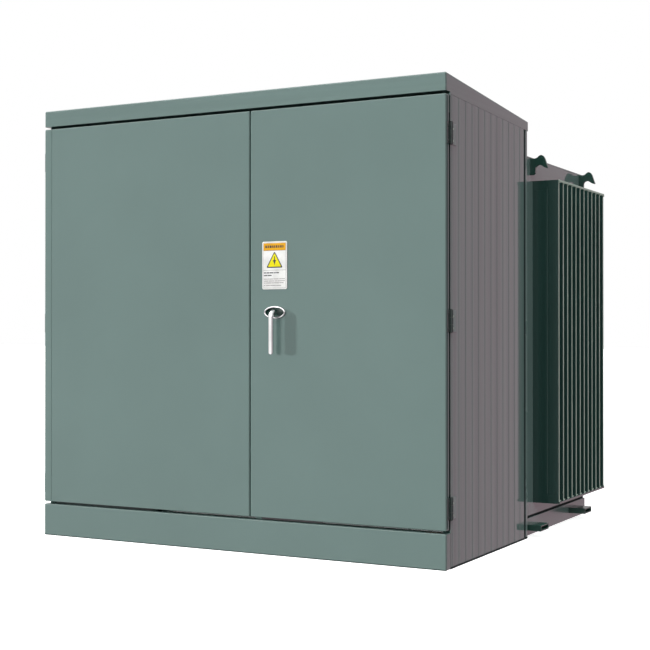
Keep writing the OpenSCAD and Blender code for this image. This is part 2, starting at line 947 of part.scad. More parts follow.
module drain_valve() {
    color([0.70, 0.55, 0.25]) in_place() difference() {
        union() {
            turned_y(drain_x, drain_z, [
                [0, -30], [drain_r, -30], [drain_r, 0], [26, 0], [26, 20], [22, 24], [22, 80], [26, 84],
                [26, 104], [0, 104]
            ]);
            translate([drain_x, wall_y - 50, drain_z])
                cylinder(r = 16, h = 52);
        }
        bar_y(drain_x, drain_z, drain_bore_r, wall_y - 105, wall_y - 64);
        translate([drain_x, wall_y - 50, drain_z + 24])
            cylinder(r = 5 + running_gap, h = 30);
    }
}

module drain_handwheel() {
    wheel_r = 34;
    color([0.75, 0.15, 0.10]) in_place() translate([drain_x, wall_y - 50, drain_z]) union() {
        translate([0, 0, 26])
            cylinder(r = 5, h = 44);
        translate([0, 0, 58])
            cylinder(r = 10, h = 12);
        translate([0, 0, 64])
            rotate_extrude()
                translate([wheel_r, 0])
                    circle(r = 4);
        for (a = [0, 120, 240])
            rotate([0, 0, a])
                translate([0, -3, 61])
                    cube([wheel_r, 6, 6]);
    }
}

module rating_plate() {
    color(bright_steel) in_place()
        block([560, wall_y - 1.5, 660], [740, wall_y, 800]);
}

pad_x = [-120, 190];
pad_z = 220;

module ground_pads() {
    color(bright_steel) in_place() for (x = pad_x)
        difference() {
            block([x - 45, wall_y - 20, pad_z - 25], [x + 45, wall_y, pad_z + 25]);
            for (s = [-0.5, 0.5])
                bar_y(x + s * spade_pitch, pad_z, 6.35, wall_y - 21, wall_y - 4);
        }
}

// ---- Core and coils ----

core_y = cabinet_d + tank_d / 2 + 40;
core_low = tank_floor + plate + 60;
core_top = core_low + window_h + 2 * limb_w;
core_half = limb_pitch + limb_w / 2;

module core() {
    color(core_steel) in_place() union() {
        for (i = [-1:1])
            block([i * limb_pitch - limb_w / 2, core_y - core_d / 2, core_low],
                  [i * limb_pitch + limb_w / 2, core_y + core_d / 2, core_top]);
        for (z = [core_low, core_top - limb_w])
            block([-core_half, core_y - core_d / 2, z], [core_half, core_y + core_d / 2, z + limb_w]);
    }
}

module core_clamps() {
    clamp_h = 120;
    color(paint) in_place() for (side = [-1, 1], z = [core_low + 30, core_top - limb_w + 70]) {
        near = core_y + side * core_d / 2;
        far = near + side * 40;
        difference() {
            block([-core_half - 40, min(near, far), z], [core_half + 40, max(near, far), z + clamp_h]);
            block([-core_half - 41, min(near, far) + (side > 0 ? 8 : -1), z + 8],
                  [core_half + 41, max(near, far) + (side > 0 ? 1 : -8), z + clamp_h - 8]);
        }
    }
    color(paint) in_place() for (side = [-1, 1], x = [-430, 430]) {
        near = core_y + side * core_d / 2;
        far = near + side * 40;
        block([x - 40, min(near, far), tank_floor + plate], [x + 40, max(near, far), core_low + 30]);
    }
}

coil_h = window_h - 50;
lv_in = 166;
lv_out = 186;
hv_in = 197;
hv_out = 217;

module coil(inner, outer) {
    for (i = [-1:1])
        translate([i * limb_pitch, core_y, core_low + limb_w + 25])
            difference() {
                cylinder(r = outer, h = coil_h);
                translate([0, 0, -1])
                    cylinder(r = inner, h = coil_h + 2);
            }
}

module lv_windings() {
    color(copper) in_place() coil(lv_in, lv_out);
}

module hv_windings() {
    color([0.62, 0.33, 0.18]) in_place() coil(hv_in, hv_out);
}

tank_shell();
tank_cover();
handhole_gasket();
handhole_cover();
handhole_bolts();
base_skirt();
base_flanges();
base_rails();
jacking_lugs();
lifting_hooks();
right_cooling_fins();
left_cooling_fins();
fin_tie_bars();
right_side_panel();
left_side_panel();
roof_hood();
back_panel();
front_sill();
compartment_barrier();
hinge_body_leaves();
hinge_pins();
right_door_panel();
right_door_stiffeners();
right_door_hinge_leaves();
label_plate();
handle_escutcheon();
latch_rod_guides();
door_handle();
latch_cam();
upper_latch_rod();
lower_latch_rod();
left_door_panel();
left_door_stile();
left_door_stiffeners();
left_door_hinge_leaves();
hv_bushings();
parking_stands();
fuse_housings();
left_fuse_holder();
middle_fuse_holder();
right_fuse_holder();
operator_housings();
switch_handle();
lv_bushings();
lv_terminals();
tap_changer_knob();
gauge_cases();
gauge_glasses();
level_needle();
temperature_needle();
relief_valve();
relief_ring();
drain_valve();
drain_handwheel();
rating_plate();
ground_pads();
core();
core_clamps();
lv_windings();
hv_windings();
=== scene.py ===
"""Looks of a pad-mounted transformer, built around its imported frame.

A steel cabinet with two doors stands in front of an oil tank with cooling fins.
Metres, +Z up; the doors face -Y.
"""
import math

import bmesh
import bpy
from mathutils import Matrix, Vector


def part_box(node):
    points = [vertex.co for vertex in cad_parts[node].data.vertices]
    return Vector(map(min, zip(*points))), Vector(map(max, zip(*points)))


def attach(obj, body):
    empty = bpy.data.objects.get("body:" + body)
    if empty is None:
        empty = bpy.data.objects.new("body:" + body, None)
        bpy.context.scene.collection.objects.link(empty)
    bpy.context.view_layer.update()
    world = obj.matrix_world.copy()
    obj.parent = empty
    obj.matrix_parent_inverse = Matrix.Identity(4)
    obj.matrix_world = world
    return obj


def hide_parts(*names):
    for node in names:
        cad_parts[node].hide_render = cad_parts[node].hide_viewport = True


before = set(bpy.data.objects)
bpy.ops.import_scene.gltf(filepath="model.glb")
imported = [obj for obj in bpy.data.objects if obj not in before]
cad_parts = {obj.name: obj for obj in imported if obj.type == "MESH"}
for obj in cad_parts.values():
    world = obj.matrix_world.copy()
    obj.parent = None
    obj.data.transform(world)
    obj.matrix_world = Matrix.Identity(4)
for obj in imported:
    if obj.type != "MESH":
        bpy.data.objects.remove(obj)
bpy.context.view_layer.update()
front_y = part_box("front_sill")[0].y

# ---- Sizes that the frame's boxes don't give ----

SHEET = 0.003
FOLD_RADIUS = 0.0045
FOLD_STEPS = 4
PRINT_GAP = 0.0002
ROOF_DROP = 0.054
ROOF_FOLD_RADIUS = 0.005
FRONT_RIM = 0.0615
RIM_NOTCH = 0.037
SIDE_RIM_Z = 1.582
SIDE_RIM_FALL = 0.022
CABINET_DEPTH = 0.794
DOOR_FOLD = 0.022
GROOVE_PITCH = 0.060
GROOVE_WIDTH = 0.0062
GROOVE_DEPTH = 0.0009
FIRST_GROOVE = 0.0715
GROOVE_COLUMNS = 680
TRIM_WIDTH = 0.021
TRIM_GAP = 0.019
WELD_RADIUS = 0.0016
SOFT_EDGE = 0.0008
SOFT_ANGLE = math.radians(40)
SHARP_CORNER = 1.2
FLAT_ANGLE = math.radians(0.5)
SMOOTH_ANGLE = math.radians(38)
FIN_COUNT = 12
FIN_THICKNESS = 0.012
HINGE_HEIGHTS = (0.202, 0.825, 1.450)
HINGE_HEIGHT = 0.072

# ---- Small helpers ----


def new_object(name, mesh):
    made = bpy.data.objects.new(name, mesh)
    bpy.context.scene.collection.objects.link(made)
    return made


def to_mesh(name, bm, smooth_angle=SMOOTH_ANGLE):
    """Turns a bmesh into a mesh whose faces point outwards and whose edges are smooth up to an angle."""
    bmesh.ops.remove_doubles(bm, verts=bm.verts, dist=1e-6)
    bmesh.ops.recalc_face_normals(bm, faces=bm.faces)
    mesh = bpy.data.meshes.new(name)
    bm.to_mesh(mesh)
    bm.free()
    mesh.shade_smooth()
    mesh.set_sharp_from_angle(angle=smooth_angle)
    return mesh


def shape(name, bm, material=None, smooth_angle=SMOOTH_ANGLE):
    """An object made from a bmesh, with a material if it has one of its own."""
    made = new_object(name, to_mesh(name, bm, smooth_angle))
    if material is not None:
        made.data.materials.append(material)
    return made


def mirrored(made):
    """Turns a right-hand shape into the left-hand one."""
    made.data.transform(Matrix.Diagonal((-1, 1, 1, 1)))
    made.data.flip_normals()
    return made


def bake_modifiers(made):
    """Replaces an object's mesh with what its modifiers make of it."""
    bpy.context.view_layer.update()
    graph = bpy.context.evaluated_depsgraph_get()
    mesh = bpy.data.meshes.new_from_object(made.evaluated_get(graph))
    made.modifiers.clear()
    made.data = mesh
    return mesh


def apply_modifiers(made):
    """The same, with edges that are smooth up to an angle."""
    mesh = bake_modifiers(made)
    mesh.shade_smooth()
    mesh.set_sharp_from_angle(angle=SMOOTH_ANGLE)
    return made


def add_block(bm, low, high):
    """Adds a closed box to a bmesh and returns its vertices."""
    low, high = Vector(low), Vector(high)
    made = bmesh.ops.create_cube(bm, size=1.0)["verts"]
    middle = (low + high) / 2
    for v in made:
        v.co = Vector(middle[i] + v.co[i] * (high[i] - low[i]) for i in range(3))
    return made


def round_edges(bm, radius, segments=3, edges=None, least_angle=math.radians(30)):
    """Rounds the given edges, or every edge that is sharper than an angle."""
    if edges is None:
        edges = [e for e in bm.edges if len(e.link_faces) == 2 and e.calc_face_angle() > least_angle]
    bmesh.ops.bevel(bm, geom=edges, offset=radius, offset_type="OFFSET", segments=segments,
                    profile=0.5, affect="EDGES", clamp_overlap=True)


def solidify(made, thickness):
    wall = made.modifiers.new("wall", "SOLIDIFY")
    wall.thickness = thickness
    wall.offset = -1
    wall.use_even_offset = True
    return apply_modifiers(made)


def finish_piece(made, body, material, replaced=()):
    """Gives a piece its material and its body, and hides the frame nodes that it stands for."""
    if material is not None:
        made.data.materials.clear()
        made.data.materials.append(material)
    made.modifiers.new("flat_faces_stay_flat", "WEIGHTED_NORMAL").keep_sharp = True
    bake_modifiers(made)
    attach(made, body)
    if replaced:
        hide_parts(*replaced)
    return made


def join_meshes(name, parts):
    """Joins several objects into one, keeping their materials."""
    bm = bmesh.new()
    mesh = bpy.data.meshes.new(name)
    for part in parts:
        first_face, first_slot = len(bm.faces), len(mesh.materials)
        bm.from_mesh(part.data)
        for material in part.data.materials:
            mesh.materials.append(material)
        bm.faces.ensure_lookup_table()
        for face in bm.faces[first_face:]:
            face.material_index += first_slot
    bm.to_mesh(mesh)
    bm.free()
    for part in parts:
        bpy.data.objects.remove(part)
    mesh.shade_smooth()
    mesh.set_sharp_from_angle(angle=SMOOTH_ANGLE)
    return new_object(name, mesh)


# ---- Materials ----


class Finish:
    """A material in the making: the principled shader with its nodes and links at hand."""

    def __init__(self, name, colour, roughness, metallic=0.0):
        self.material = bpy.data.materials.new(name)
        self.material.use_nodes = True
        self.nodes = self.material.node_tree.nodes
        self.links = self.material.node_tree.links
        self.shader = self.nodes["Principled BSDF"]
        self.shader.inputs["Base Color"].default_value = (*colour, 1)
        self.shader.inputs["Roughness"].default_value = roughness
        self.shader.inputs["Metallic"].default_value = metallic
        self.place = self.nodes.new("ShaderNodeTexCoord")

    def set(self, **values):
        for key, value in values.items():
            self.shader.inputs[key.replace("_", " ")].default_value = value
        return self

    def mapping(self, stretch):
        made = self.nodes.new("ShaderNodeMapping")
        made.inputs["Scale"].default_value = stretch
        self.links.new(self.place.outputs["Object"], made.inputs["Vector"])
        return made.outputs["Vector"]

    def noise(self, scale, detail=3.0, stretch=(1, 1, 1)):
        made = self.nodes.new("ShaderNodeTexNoise")
        made.inputs["Scale"].default_value = scale
        made.inputs["Detail"].default_value = detail
        self.links.new(self.mapping(stretch), made.inputs["Vector"])
        return made.outputs["Fac"]

    def span(self, value, low, high):
        """Maps a noise's usual span onto low..high."""
        made = self.nodes.new("ShaderNodeMapRange")
        made.inputs["From Min"].default_value = 0.3
        made.inputs["From Max"].default_value = 0.7
        made.inputs["To Min"].default_value = low
        made.inputs["To Max"].default_value = high
        self.links.new(value, made.inputs["Value"])
        return made.outputs["Result"]

    def colours(self, value, dark, light):
        """Base colour that runs from dark to light with a value."""
        made = self.nodes.new("ShaderNodeMix")
        made.data_type = "RGBA"
        made.inputs["A"].default_value = (*dark, 1)
        made.inputs["B"].default_value = (*light, 1)
        self.links.new(value, made.inputs["Factor"])
        self.links.new(made.outputs["Result"], self.shader.inputs["Base Color"])
        return self

    def roughness(self, value, low, high):
        self.links.new(self.span(value, low, high), self.shader.inputs["Roughness"])
        return self

    def bump(self, value, depth, strength=1.0):
        made = self.nodes.new("ShaderNodeBump")
        made.inputs["Strength"].default_value = strength
        made.inputs["Distance"].default_value = depth
        self.links.new(value, made.inputs["Height"])
        previous = self.shader.inputs["Normal"]
        if previous.is_linked:
            self.links.new(previous.links[0].from_socket, made.inputs["Normal"])
        self.links.new(made.outputs["Normal"], self.shader.inputs["Normal"])
        return self


def mixed(colour, factor):
    return tuple(c * factor for c in colour)


def enamel(name, colour, gloss=0.06, streaks=(1, 1, 1), variation=0.03, waviness=0.05):
    """Baked enamel on sheet steel: faint mottling, very light orange peel and a clean gloss."""
    mottle_scale, gloss_scale, wave_scale, wave_depth = 2.6, 9, 5.0, 0.0005
    made = Finish(name, colour, gloss)
    mottle = made.span(made.noise(mottle_scale, 3, streaks), 0, 1)
    made.colours(mottle, mixed(colour, 1 - variation), mixed(colour, 1 + variation))
    made.roughness(made.noise(gloss_scale, 4, (1, 1, 0.3)), gloss * 0.8, gloss * 1.25)
    made.bump(made.noise(wave_scale, 2, streaks), wave_depth, waviness)
    return made.material


def brushed(name, colour, along, roughness=0.28):
    """Stainless or zinc-plated steel with fine brush marks along an axis."""
    across, lengthwise, mark_depth = 60, 2, 0.00003
    made = Finish(name, colour, roughness, 1.0)
    stretch = [lengthwise if axis == along else across for axis in "xyz"]
    marks = made.noise(18, 5, stretch)
    made.colours(made.span(made.noise(14, 3), 0, 1), mixed(colour, 0.86), colour)
    made.roughness(marks, roughness * 0.75, roughness * 1.3)
    made.bump(marks, mark_depth)
    return made.material


def moulded(name, colour, roughness=0.35):
    """Moulded or cast plastic and resin with a fine grain."""
    cloud_scale, gloss_scale, grain_scale, grain_depth = 30, 60, 900, 0.00003
    made = Finish(name, colour, roughness)
    made.colours(made.span(made.noise(cloud_scale, 4), 0, 1), mixed(colour, 0.85), mixed(colour, 1.1))
    made.roughness(made.noise(gloss_scale, 3), roughness * 0.8, roughness * 1.25)
    made.bump(made.noise(grain_scale, 3), grain_depth)
    return made.material


PAINT = (0.140, 0.214, 0.199)
VERTICAL = (1, 9, 0.15)
LEVEL = (0.4, 0.15, 14)

front_enamel = enamel("front_enamel", PAINT)
side_enamel = enamel("side_enamel", PAINT, 0.06, VERTICAL, 0.13)
hood_enamel = enamel("hood_enamel", PAINT, 0.06, LEVEL, 0.06)
base_enamel = enamel("base_enamel", PAINT, 0.22)
trim_enamel = enamel("trim_enamel", mixed(PAINT, 1.15), 0.3)
tank_enamel = enamel("tank_enamel", PAINT, 0.07)
# Fin paint much darker than the common paint: painted shade in the deep gaps between the fins.
fin_shade_enamel = enamel("fin_shade_enamel", (0.032, 0.080, 0.070), 0.12, VERTICAL, 0.18)
# Light paint on the fins' outer edges, their weld beads, the upper tie bars and the cabinet-side hinge screws: a
# painted highlight.
rim_highlight_enamel = enamel("fin_rim_painted_highlight", (0.52, 0.66, 0.56), 0.5, (1, 1, 0.3), 0.1, 0.0)
# Fitting paint darkened below the common paint: painted shade on the hooks and lugs in the cabinet's shadow and
# in the handle's cup; the core clamps share it.
fitting_shade_enamel = enamel("fitting_shade_enamel", (0.026, 0.078, 0.062), 0.14)
# Near-black paint: painted shade in the gaps beside the doors, in the side panels' joggles, along the side and
# sill feet and on the floor rails.
gap_shade_enamel = Finish("gap_shade_enamel", (0.012, 0.026, 0.024), 0.7).set(Specular_IOR_Level=0.12).material
# Dark paint for the strips on the door folds: a painted shadow line.
fold_shade_enamel = Finish("fold_shade_enamel", (0.045, 0.090, 0.080), 0.6).set(Specular_IOR_Level=0.15).material
# Paint at a fifth of the common paint: painted shade on the hinges in the dark gap beside the doors.
hinge_shade_enamel = enamel("hinge_shade_enamel", mixed(PAINT, 0.22), 0.3)
polished = brushed("polished_handle_steel", (0.90, 0.89, 0.89), "z", 0.10)
ring_steel = brushed("polished_ring_steel", (0.60, 0.59, 0.60), "x", 0.16)
stainless = brushed("stainless_fitting", (0.72, 0.72, 0.71), "x", 0.3)
zinc = brushed("zinc_plated_latch", (0.58, 0.59, 0.60), "z", 0.36)
resin = moulded("bushing_resin", (0.20, 0.13, 0.09), 0.3)
black_plastic = moulded("black_fuse_plastic", (0.018, 0.018, 0.018), 0.38)
red_plastic = moulded("red_handle_plastic", (0.42, 0.03, 0.02), 0.35)
copper = brushed("tinned_copper", (0.70, 0.52, 0.42), "y", 0.32)
brass = brushed("valve_brass", (0.66, 0.50, 0.24), "x", 0.3)
rubber = moulded("gasket_rubber", (0.02, 0.02, 0.02), 0.7)
core_lacquer = brushed("core_lamination", (0.20, 0.21, 0.22), "z", 0.5)
winding_enamel = brushed("winding_enamel", (0.45, 0.20, 0.09), "z", 0.35)
dial_white = moulded("gauge_dial", (0.78, 0.78, 0.75), 0.5)
glass = Finish("gauge_glass", (0.9, 0.95, 0.95), 0.03).set(Transmission_Weight=1.0, IOR=1.45).material

# ---- Frame nodes whose shape is right: the same shape with softened edges ----


def softened(node, radius=SOFT_EDGE):
    """A frame node's shape with merged faces and rounded edges."""
    bm = bmesh.new()
    bm.from_mesh(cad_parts[node].data)
    bmesh.ops.remove_doubles(bm, verts=bm.verts, dist=1e-5)
    bmesh.ops.dissolve_limit(bm, angle_limit=FLAT_ANGLE, verts=bm.verts, edges=bm.edges)
    round_edges(bm, radius, 2, least_angle=SOFT_ANGLE)
    return bm


TANK = "tank_and_cabinet"
SOFTENED = [
    ("base_skirt", "base_walls", TANK, base_enamel, "green_paint", 0.0015),
    ("base_flanges", "base_bottom_flange", TANK, tank_enamel, "green_paint", 0.001),
    # The floor rails take the near-black gap paint: painted shade under the base.
    ("base_rails", "base_floor_rail", TANK, gap_shade_enamel, "green_paint", 0.001),
    # The lugs take the darkened fitting paint: painted shade.
    ("jacking_lugs", "jack_lugs", TANK, fitting_shade_enamel, "green_paint", 0.0015),
    ("back_panel", "upper_back_panel", TANK, tank_enamel, "green_paint", 0.0008),
    ("compartment_barrier", "barrier_plate", TANK, tank_enamel, "green_paint", 0.0008),
    # The hinge pins take the dark hinge paint: painted shade in the door gap.
    ("hinge_pins", "hinge_pin_set", TANK, hinge_shade_enamel, "stainless", 0.0006),
    ("right_door_stiffeners", "right_door_ribs", "right_door", front_enamel, "green_paint", 0.0012),
    ("left_door_stiffeners", "left_door_ribs", "left_door", front_enamel, "green_paint", 0.0012),
    ("latch_rod_guides", "rod_guides", "right_door", zinc, "zinc_plate", 0.001),
    ("latch_cam", "cam_plate", "handle", zinc, "zinc_plate", 0.0008),
    ("upper_latch_rod", "upper_rod_bar", "upper_rod", zinc, "zinc_plate", 0.0006),
    ("lower_latch_rod", "lower_rod_bar", "lower_rod", zinc, "zinc_plate", 0.0006),
    ("handhole_gasket", "cover_gasket", TANK, rubber, "gasket_rubber", 0.0008),
    ("handhole_cover", "access_cover", TANK, tank_enamel, "green_paint", 0.0012),
    ("hv_bushings", "high_voltage_bushings", TANK, resin, "bushing_resin", 0.0015),
    ("parking_stands", "elbow_parking_stands", TANK, stainless, "stainless", 0.0006),
    ("fuse_housings", "fuse_wells", TANK, resin, "bushing_resin", 0.001),
    ("left_fuse_holder", "fuse_carrier_left", "left_fuse", black_plastic, "black_plastic", 0.0008),
    ("middle_fuse_holder", "fuse_carrier_middle", "middle_fuse", black_plastic, "black_plastic", 0.0008),
    ("right_fuse_holder", "fuse_carrier_right", "right_fuse", black_plastic, "black_plastic", 0.0008),
    ("operator_housings", "operator_glands", TANK, stainless, "zinc_plate", 0.001),
    ("switch_handle", "switch_lever", "switch", red_plastic, "red_plastic", 0.0012),
    ("tap_changer_knob", "tap_lever", "tap_changer", black_plastic, "black_plastic", 0.0012),
    ("lv_bushings", "low_voltage_bushings", TANK, resin, "bushing_resin", 0.0012),
    ("lv_terminals", "low_voltage_spades", TANK, copper, "copper", 0.0012),
    ("gauge_cases", "gauge_housings", TANK, stainless, "stainless", 0.0008),
    ("gauge_glasses", "gauge_windows", TANK, glass, "gauge_glass", 0.0005),
    ("level_needle", "level_pointer_arm", "level_pointer", black_plastic, "needle_black", 0.0002),
    ("temperature_needle", "temperature_pointer_arm", "temperature_pointer", red_plastic, "needle_black",
     0.0002),
    ("relief_valve", "relief_valve_body", TANK, brass, "brass", 0.0008),
    ("relief_ring", "relief_pull_ring", "relief_pull", stainless, "polished_steel", 0.0003),
    ("drain_valve", "drain_valve_body", TANK, brass, "brass", 0.001),
    ("drain_handwheel", "drain_wheel_rim", "drain_wheel", red_plastic, "red_plastic", 0.0005),
    ("rating_plate", "blank_rating_plate", TANK, stainless, "stainless", 0.0004),
    ("ground_pads", "ground_pad_blocks", TANK, stainless, "stainless", 0.001),
    ("core", "core_stack", TANK, core_lacquer, "core_steel", 0.002),
    ("core_clamps", "core_clamp_channels", TANK, fitting_shade_enamel, "green_paint", 0.001),
    ("lv_windings", "inner_windings", TANK, winding_enamel, "winding_copper", 0.002),
    ("hv_windings", "outer_windings", TANK, winding_enamel, "winding_copper", 0.002),
]
for node, name, body, material, slot, radius in SOFTENED:
    finish_piece(shape(name, softened(node, radius)), body, material, (node,))

# ---- Folded sheet metal: doors, stile, sill ----


def folded_pan(name, low, high, open_sides):
    """A sheet-metal pan: a box without its open sides, with rounded folds and a real wall."""
    bm = bmesh.new()
    add_block(bm, low, high)
    opened = []
    for face in bm.faces:
        axis = max(range(3), key=lambda i: abs(face.normal[i]))
        side = ("-" if face.normal[axis] < 0 else "+") + "xyz"[axis]
        if side in open_sides:
            opened.append(face)
    bmesh.ops.delete(bm, geom=opened, context="FACES")
    round_edges(bm, FOLD_RADIUS, FOLD_STEPS)
    return solidify(shape(name, bm), SHEET)


def cut(made, cutter):
    """Cuts one object's shape out of another."""
    hole = made.modifiers.new("hole", "BOOLEAN")
    hole.operation = "DIFFERENCE"
    hole.solver = "EXACT"
    hole.object = cutter
    apply_modifiers(made)
    bpy.data.objects.remove(cutter)
    return made


def oval(bm, centre, half_width, half_height, y, sides=64):
    """A closed oval ring of vertices in a plane across Y."""
    made = []
    for i in range(sides):
        turn = 2 * math.pi * i / sides
        x = centre.x + half_width * math.cos(turn)
        made.append(bm.verts.new((x, y, centre.z + half_height * math.sin(turn))))
    return made


def oval_stack(name, centre, rings):
    """Oval rings one behind the other, each (half width, half height, y), closed at both ends."""
    bm = bmesh.new()
    loops = [oval(bm, centre, *ring) for ring in rings]
    for a, b in zip(loops, loops[1:]):
        for i in range(len(a)):
            j = (i + 1) % len(a)
            bm.faces.new((a[i], a[j], b[j], b[i]))
    bm.faces.new(loops[0])
    bm.faces.new(loops[-1])
    return shape(name, bm)


escutcheon_low, escutcheon_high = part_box("handle_escutcheon")
handle_low, handle_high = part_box("door_handle")
handle_centre = (escutcheon_low + escutcheon_high) / 2
door_low, door_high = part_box("right_door_panel")
face_y = door_low.y

fold_y = face_y + DOOR_FOLD

right_door = folded_pan("right_door_skin", door_low, (door_high.x, fold_y, door_high.z), ("+y",))
cup_hole = [(0.0365, 0.0175, face_y + along) for along in (-0.01, 0.01)]
cut(right_door, oval_stack("cup_hole", handle_centre, cup_hole))
finish_piece(right_door, "right_door", front_enamel, ("right_door_panel",))


def fold_shade_strips():
    """A dark strip down the outer fold of each door, just behind its front edge: a painted shadow line."""
    proud, sunk, end_gap = 0.0003, 0.0005, 0.006
    front, back = face_y + 0.0055, face_y + 0.0150
    for body, side in (("right_door", 1), ("left_door", -1)):
        bm = bmesh.new()
        edges = (side * (door_high.x - sunk), side * (door_high.x + proud))
        add_block(bm, (min(edges), front, door_low.z + end_gap), (max(edges), back, door_high.z - end_gap))
        finish_piece(shape(body + "_fold_shade_strip", bm), body, fold_shade_enamel)


fold_shade_strips()

left_low, left_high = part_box("left_door_panel")
left_door = folded_pan("left_door_skin", left_low, (left_high.x, fold_y, left_high.z), ("+y", "-x"))
finish_piece(left_door, "left_door", front_enamel, ("left_door_panel",))

stile_low, stile_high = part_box("left_door_stile")
STILE_GAP = 0.0015
STRAP_END = 0.004
stile_edge = left_low.x - STILE_GAP
stile = folded_pan("edge_strip", stile_low, (stile_edge, stile_high.y, stile_high.z), ("+y", "+x"))
strap = bmesh.new()
add_block(strap, (stile_low.x + SHEET, face_y + SHEET, stile_low.z + STRAP_END),
          (stile_high.x, face_y + 2 * SHEET, stile_high.z - STRAP_END))
stile = join_meshes("left_door_edge_strip", [stile, shape("strap", strap)])
finish_piece(stile, "left_door", front_enamel, ("left_door_stile",))

sill_low, sill_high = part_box("front_sill")
SILL_FOOT = 0.003
sill = folded_pan("channel", sill_low, sill_high, ("+y",))
sill.data.materials.append(front_enamel)
# A near-black strip along the sill's foot: painted shade where the sill meets the floor.
sill_foot = bmesh.new()
add_block(sill_foot, (sill_low.x, face_y - PRINT_GAP, sill_low.z),
          (sill_high.x, face_y + SHEET, sill_low.z + SILL_FOOT))
sill = join_meshes("sill_channel", [sill, shape("sill_foot", sill_foot, gap_shade_enamel)])
finish_piece(sill, TANK, None, ("front_sill",))

# ---- Roof hood ----


def rim_height(row_y):
    """Height of the lower edge of the hood's sides, which falls towards the back."""
    return SIDE_RIM_Z - SIDE_RIM_FALL * (row_y - front_y) / CABINET_DEPTH


def roof_hood():
    """The hood: a bent sheet with rims in front and at its sides, open underneath, and a lip behind its front."""
    low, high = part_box("roof_hood")
    rim_z = high.z - FRONT_RIM
    notch_y = low.y + RIM_NOTCH
    lip_depth = 0.03
    profile = [(low.y, rim_z), (low.y, high.z), (high.y, high.z - ROOF_DROP), (high.y, low.z),
               (notch_y, rim_height(notch_y)), (notch_y, rim_z)]
    skins = 3
    bm = bmesh.new()
    sides = [[bm.verts.new((x, y, z)) for y, z in profile] for x in (low.x, high.x)]
    for side in sides:
        bm.faces.new(side)
    under = []
    for i in range(len(profile)):
        j = (i + 1) % len(profile)
        face = bm.faces.new((sides[0][i], sides[0][j], sides[1][j], sides[1][i]))
        if i >= skins:
            under.append(face)
    bmesh.ops.recalc_face_normals(bm, faces=bm.faces)
    bmesh.ops.delete(bm, geom=under, context="FACES")
    round_edges(bm, ROOF_FOLD_RADIUS, FOLD_STEPS)
    skin = solidify(shape("hood_skin", bm), SHEET)
    lip = bmesh.new()
    add_block(lip, (low.x + SHEET, low.y + SHEET, rim_z),
              (high.x - SHEET, low.y + lip_depth, rim_z + SHEET))
    round_edges(lip, SOFT_EDGE, 2)
    return join_meshes("roof_hood_skin", [skin, shape("lip", lip)])


finish_piece(roof_hood(), TANK, hood_enamel, ("roof_hood",))

# ---- Geometry Nodes: what repeats and what follows a rule ----


class Tree:
    """A Geometry Nodes tree with named inputs."""

    def __init__(self, name):
        self.group = bpy.data.node_groups.new(name, "GeometryNodeTree")
        self.group.interface.new_socket("Geometry", in_out="INPUT", socket_type="NodeSocketGeometry")
        self.group.interface.new_socket("Geometry", in_out="OUTPUT", socket_type="NodeSocketGeometry")
        self.start = self.group.nodes.new("NodeGroupInput")
        self.end = self.group.nodes.new("NodeGroupOutput")
        self.keys = {}

    def ask(self, name, kind="NodeSocketFloat"):
        """Adds a named input to the tree."""
        socket = self.group.interface.new_socket(name, in_out="INPUT", socket_type=kind)
        self.keys[name] = socket.identifier
        return self.start.outputs[name]

    def add(self, kind, **settings):
        made = self.group.nodes.new(kind)
        for key, value in settings.items():
            setattr(made, key, value)
        return made

    def link(self, source, target):
        self.group.links.new(source, target)

    def maths(self, operation, *values):
        made = self.add("ShaderNodeMath", operation=operation)
        for socket, value in zip(made.inputs, values):
            if isinstance(value, (int, float)):
                socket.default_value = value
            else:
                self.link(value, socket)
        return made.outputs[0]

    def close(self, geometry, material_socket):
        """Ends the tree: real geometry with its material."""
        real = self.add("GeometryNodeRealizeInstances")
        self.link(geometry, real.inputs[0])
        paint = self.add("GeometryNodeSetMaterial")
        self.link(real.outputs[0], paint.inputs["Geometry"])
        self.link(material_socket, paint.inputs["Material"])
        self.link(paint.outputs[0], self.end.inputs[0])

    def run(self, made, **values):
        """Applies the tree to an object with the given input values."""
        modifier = made.modifiers.new(self.group.name, "NODES")
        modifier.node_group = self.group
        for name, value in values.items():
            modifier[self.keys[name.replace("_", " ")]] = value
        return apply_modifiers(made)


def row_tree():
    """Copies a shape along a straight row with an even step."""
    tree = Tree("even_row")
    count = tree.ask("Count", "NodeSocketInt")
    step = tree.ask("Step", "NodeSocketVector")
    material = tree.ask("Material", "NodeSocketMaterial")
    line = tree.add("GeometryNodeMeshLine", mode="OFFSET")
    tree.link(count, line.inputs["Count"])
    tree.link(step, line.inputs["Offset"])
    copies = tree.add("GeometryNodeInstanceOnPoints")
    tree.link(line.outputs[0], copies.inputs["Points"])
    tree.link(tree.start.outputs["Geometry"], copies.inputs["Instance"])
    tree.close(copies.outputs[0], material)
    return tree


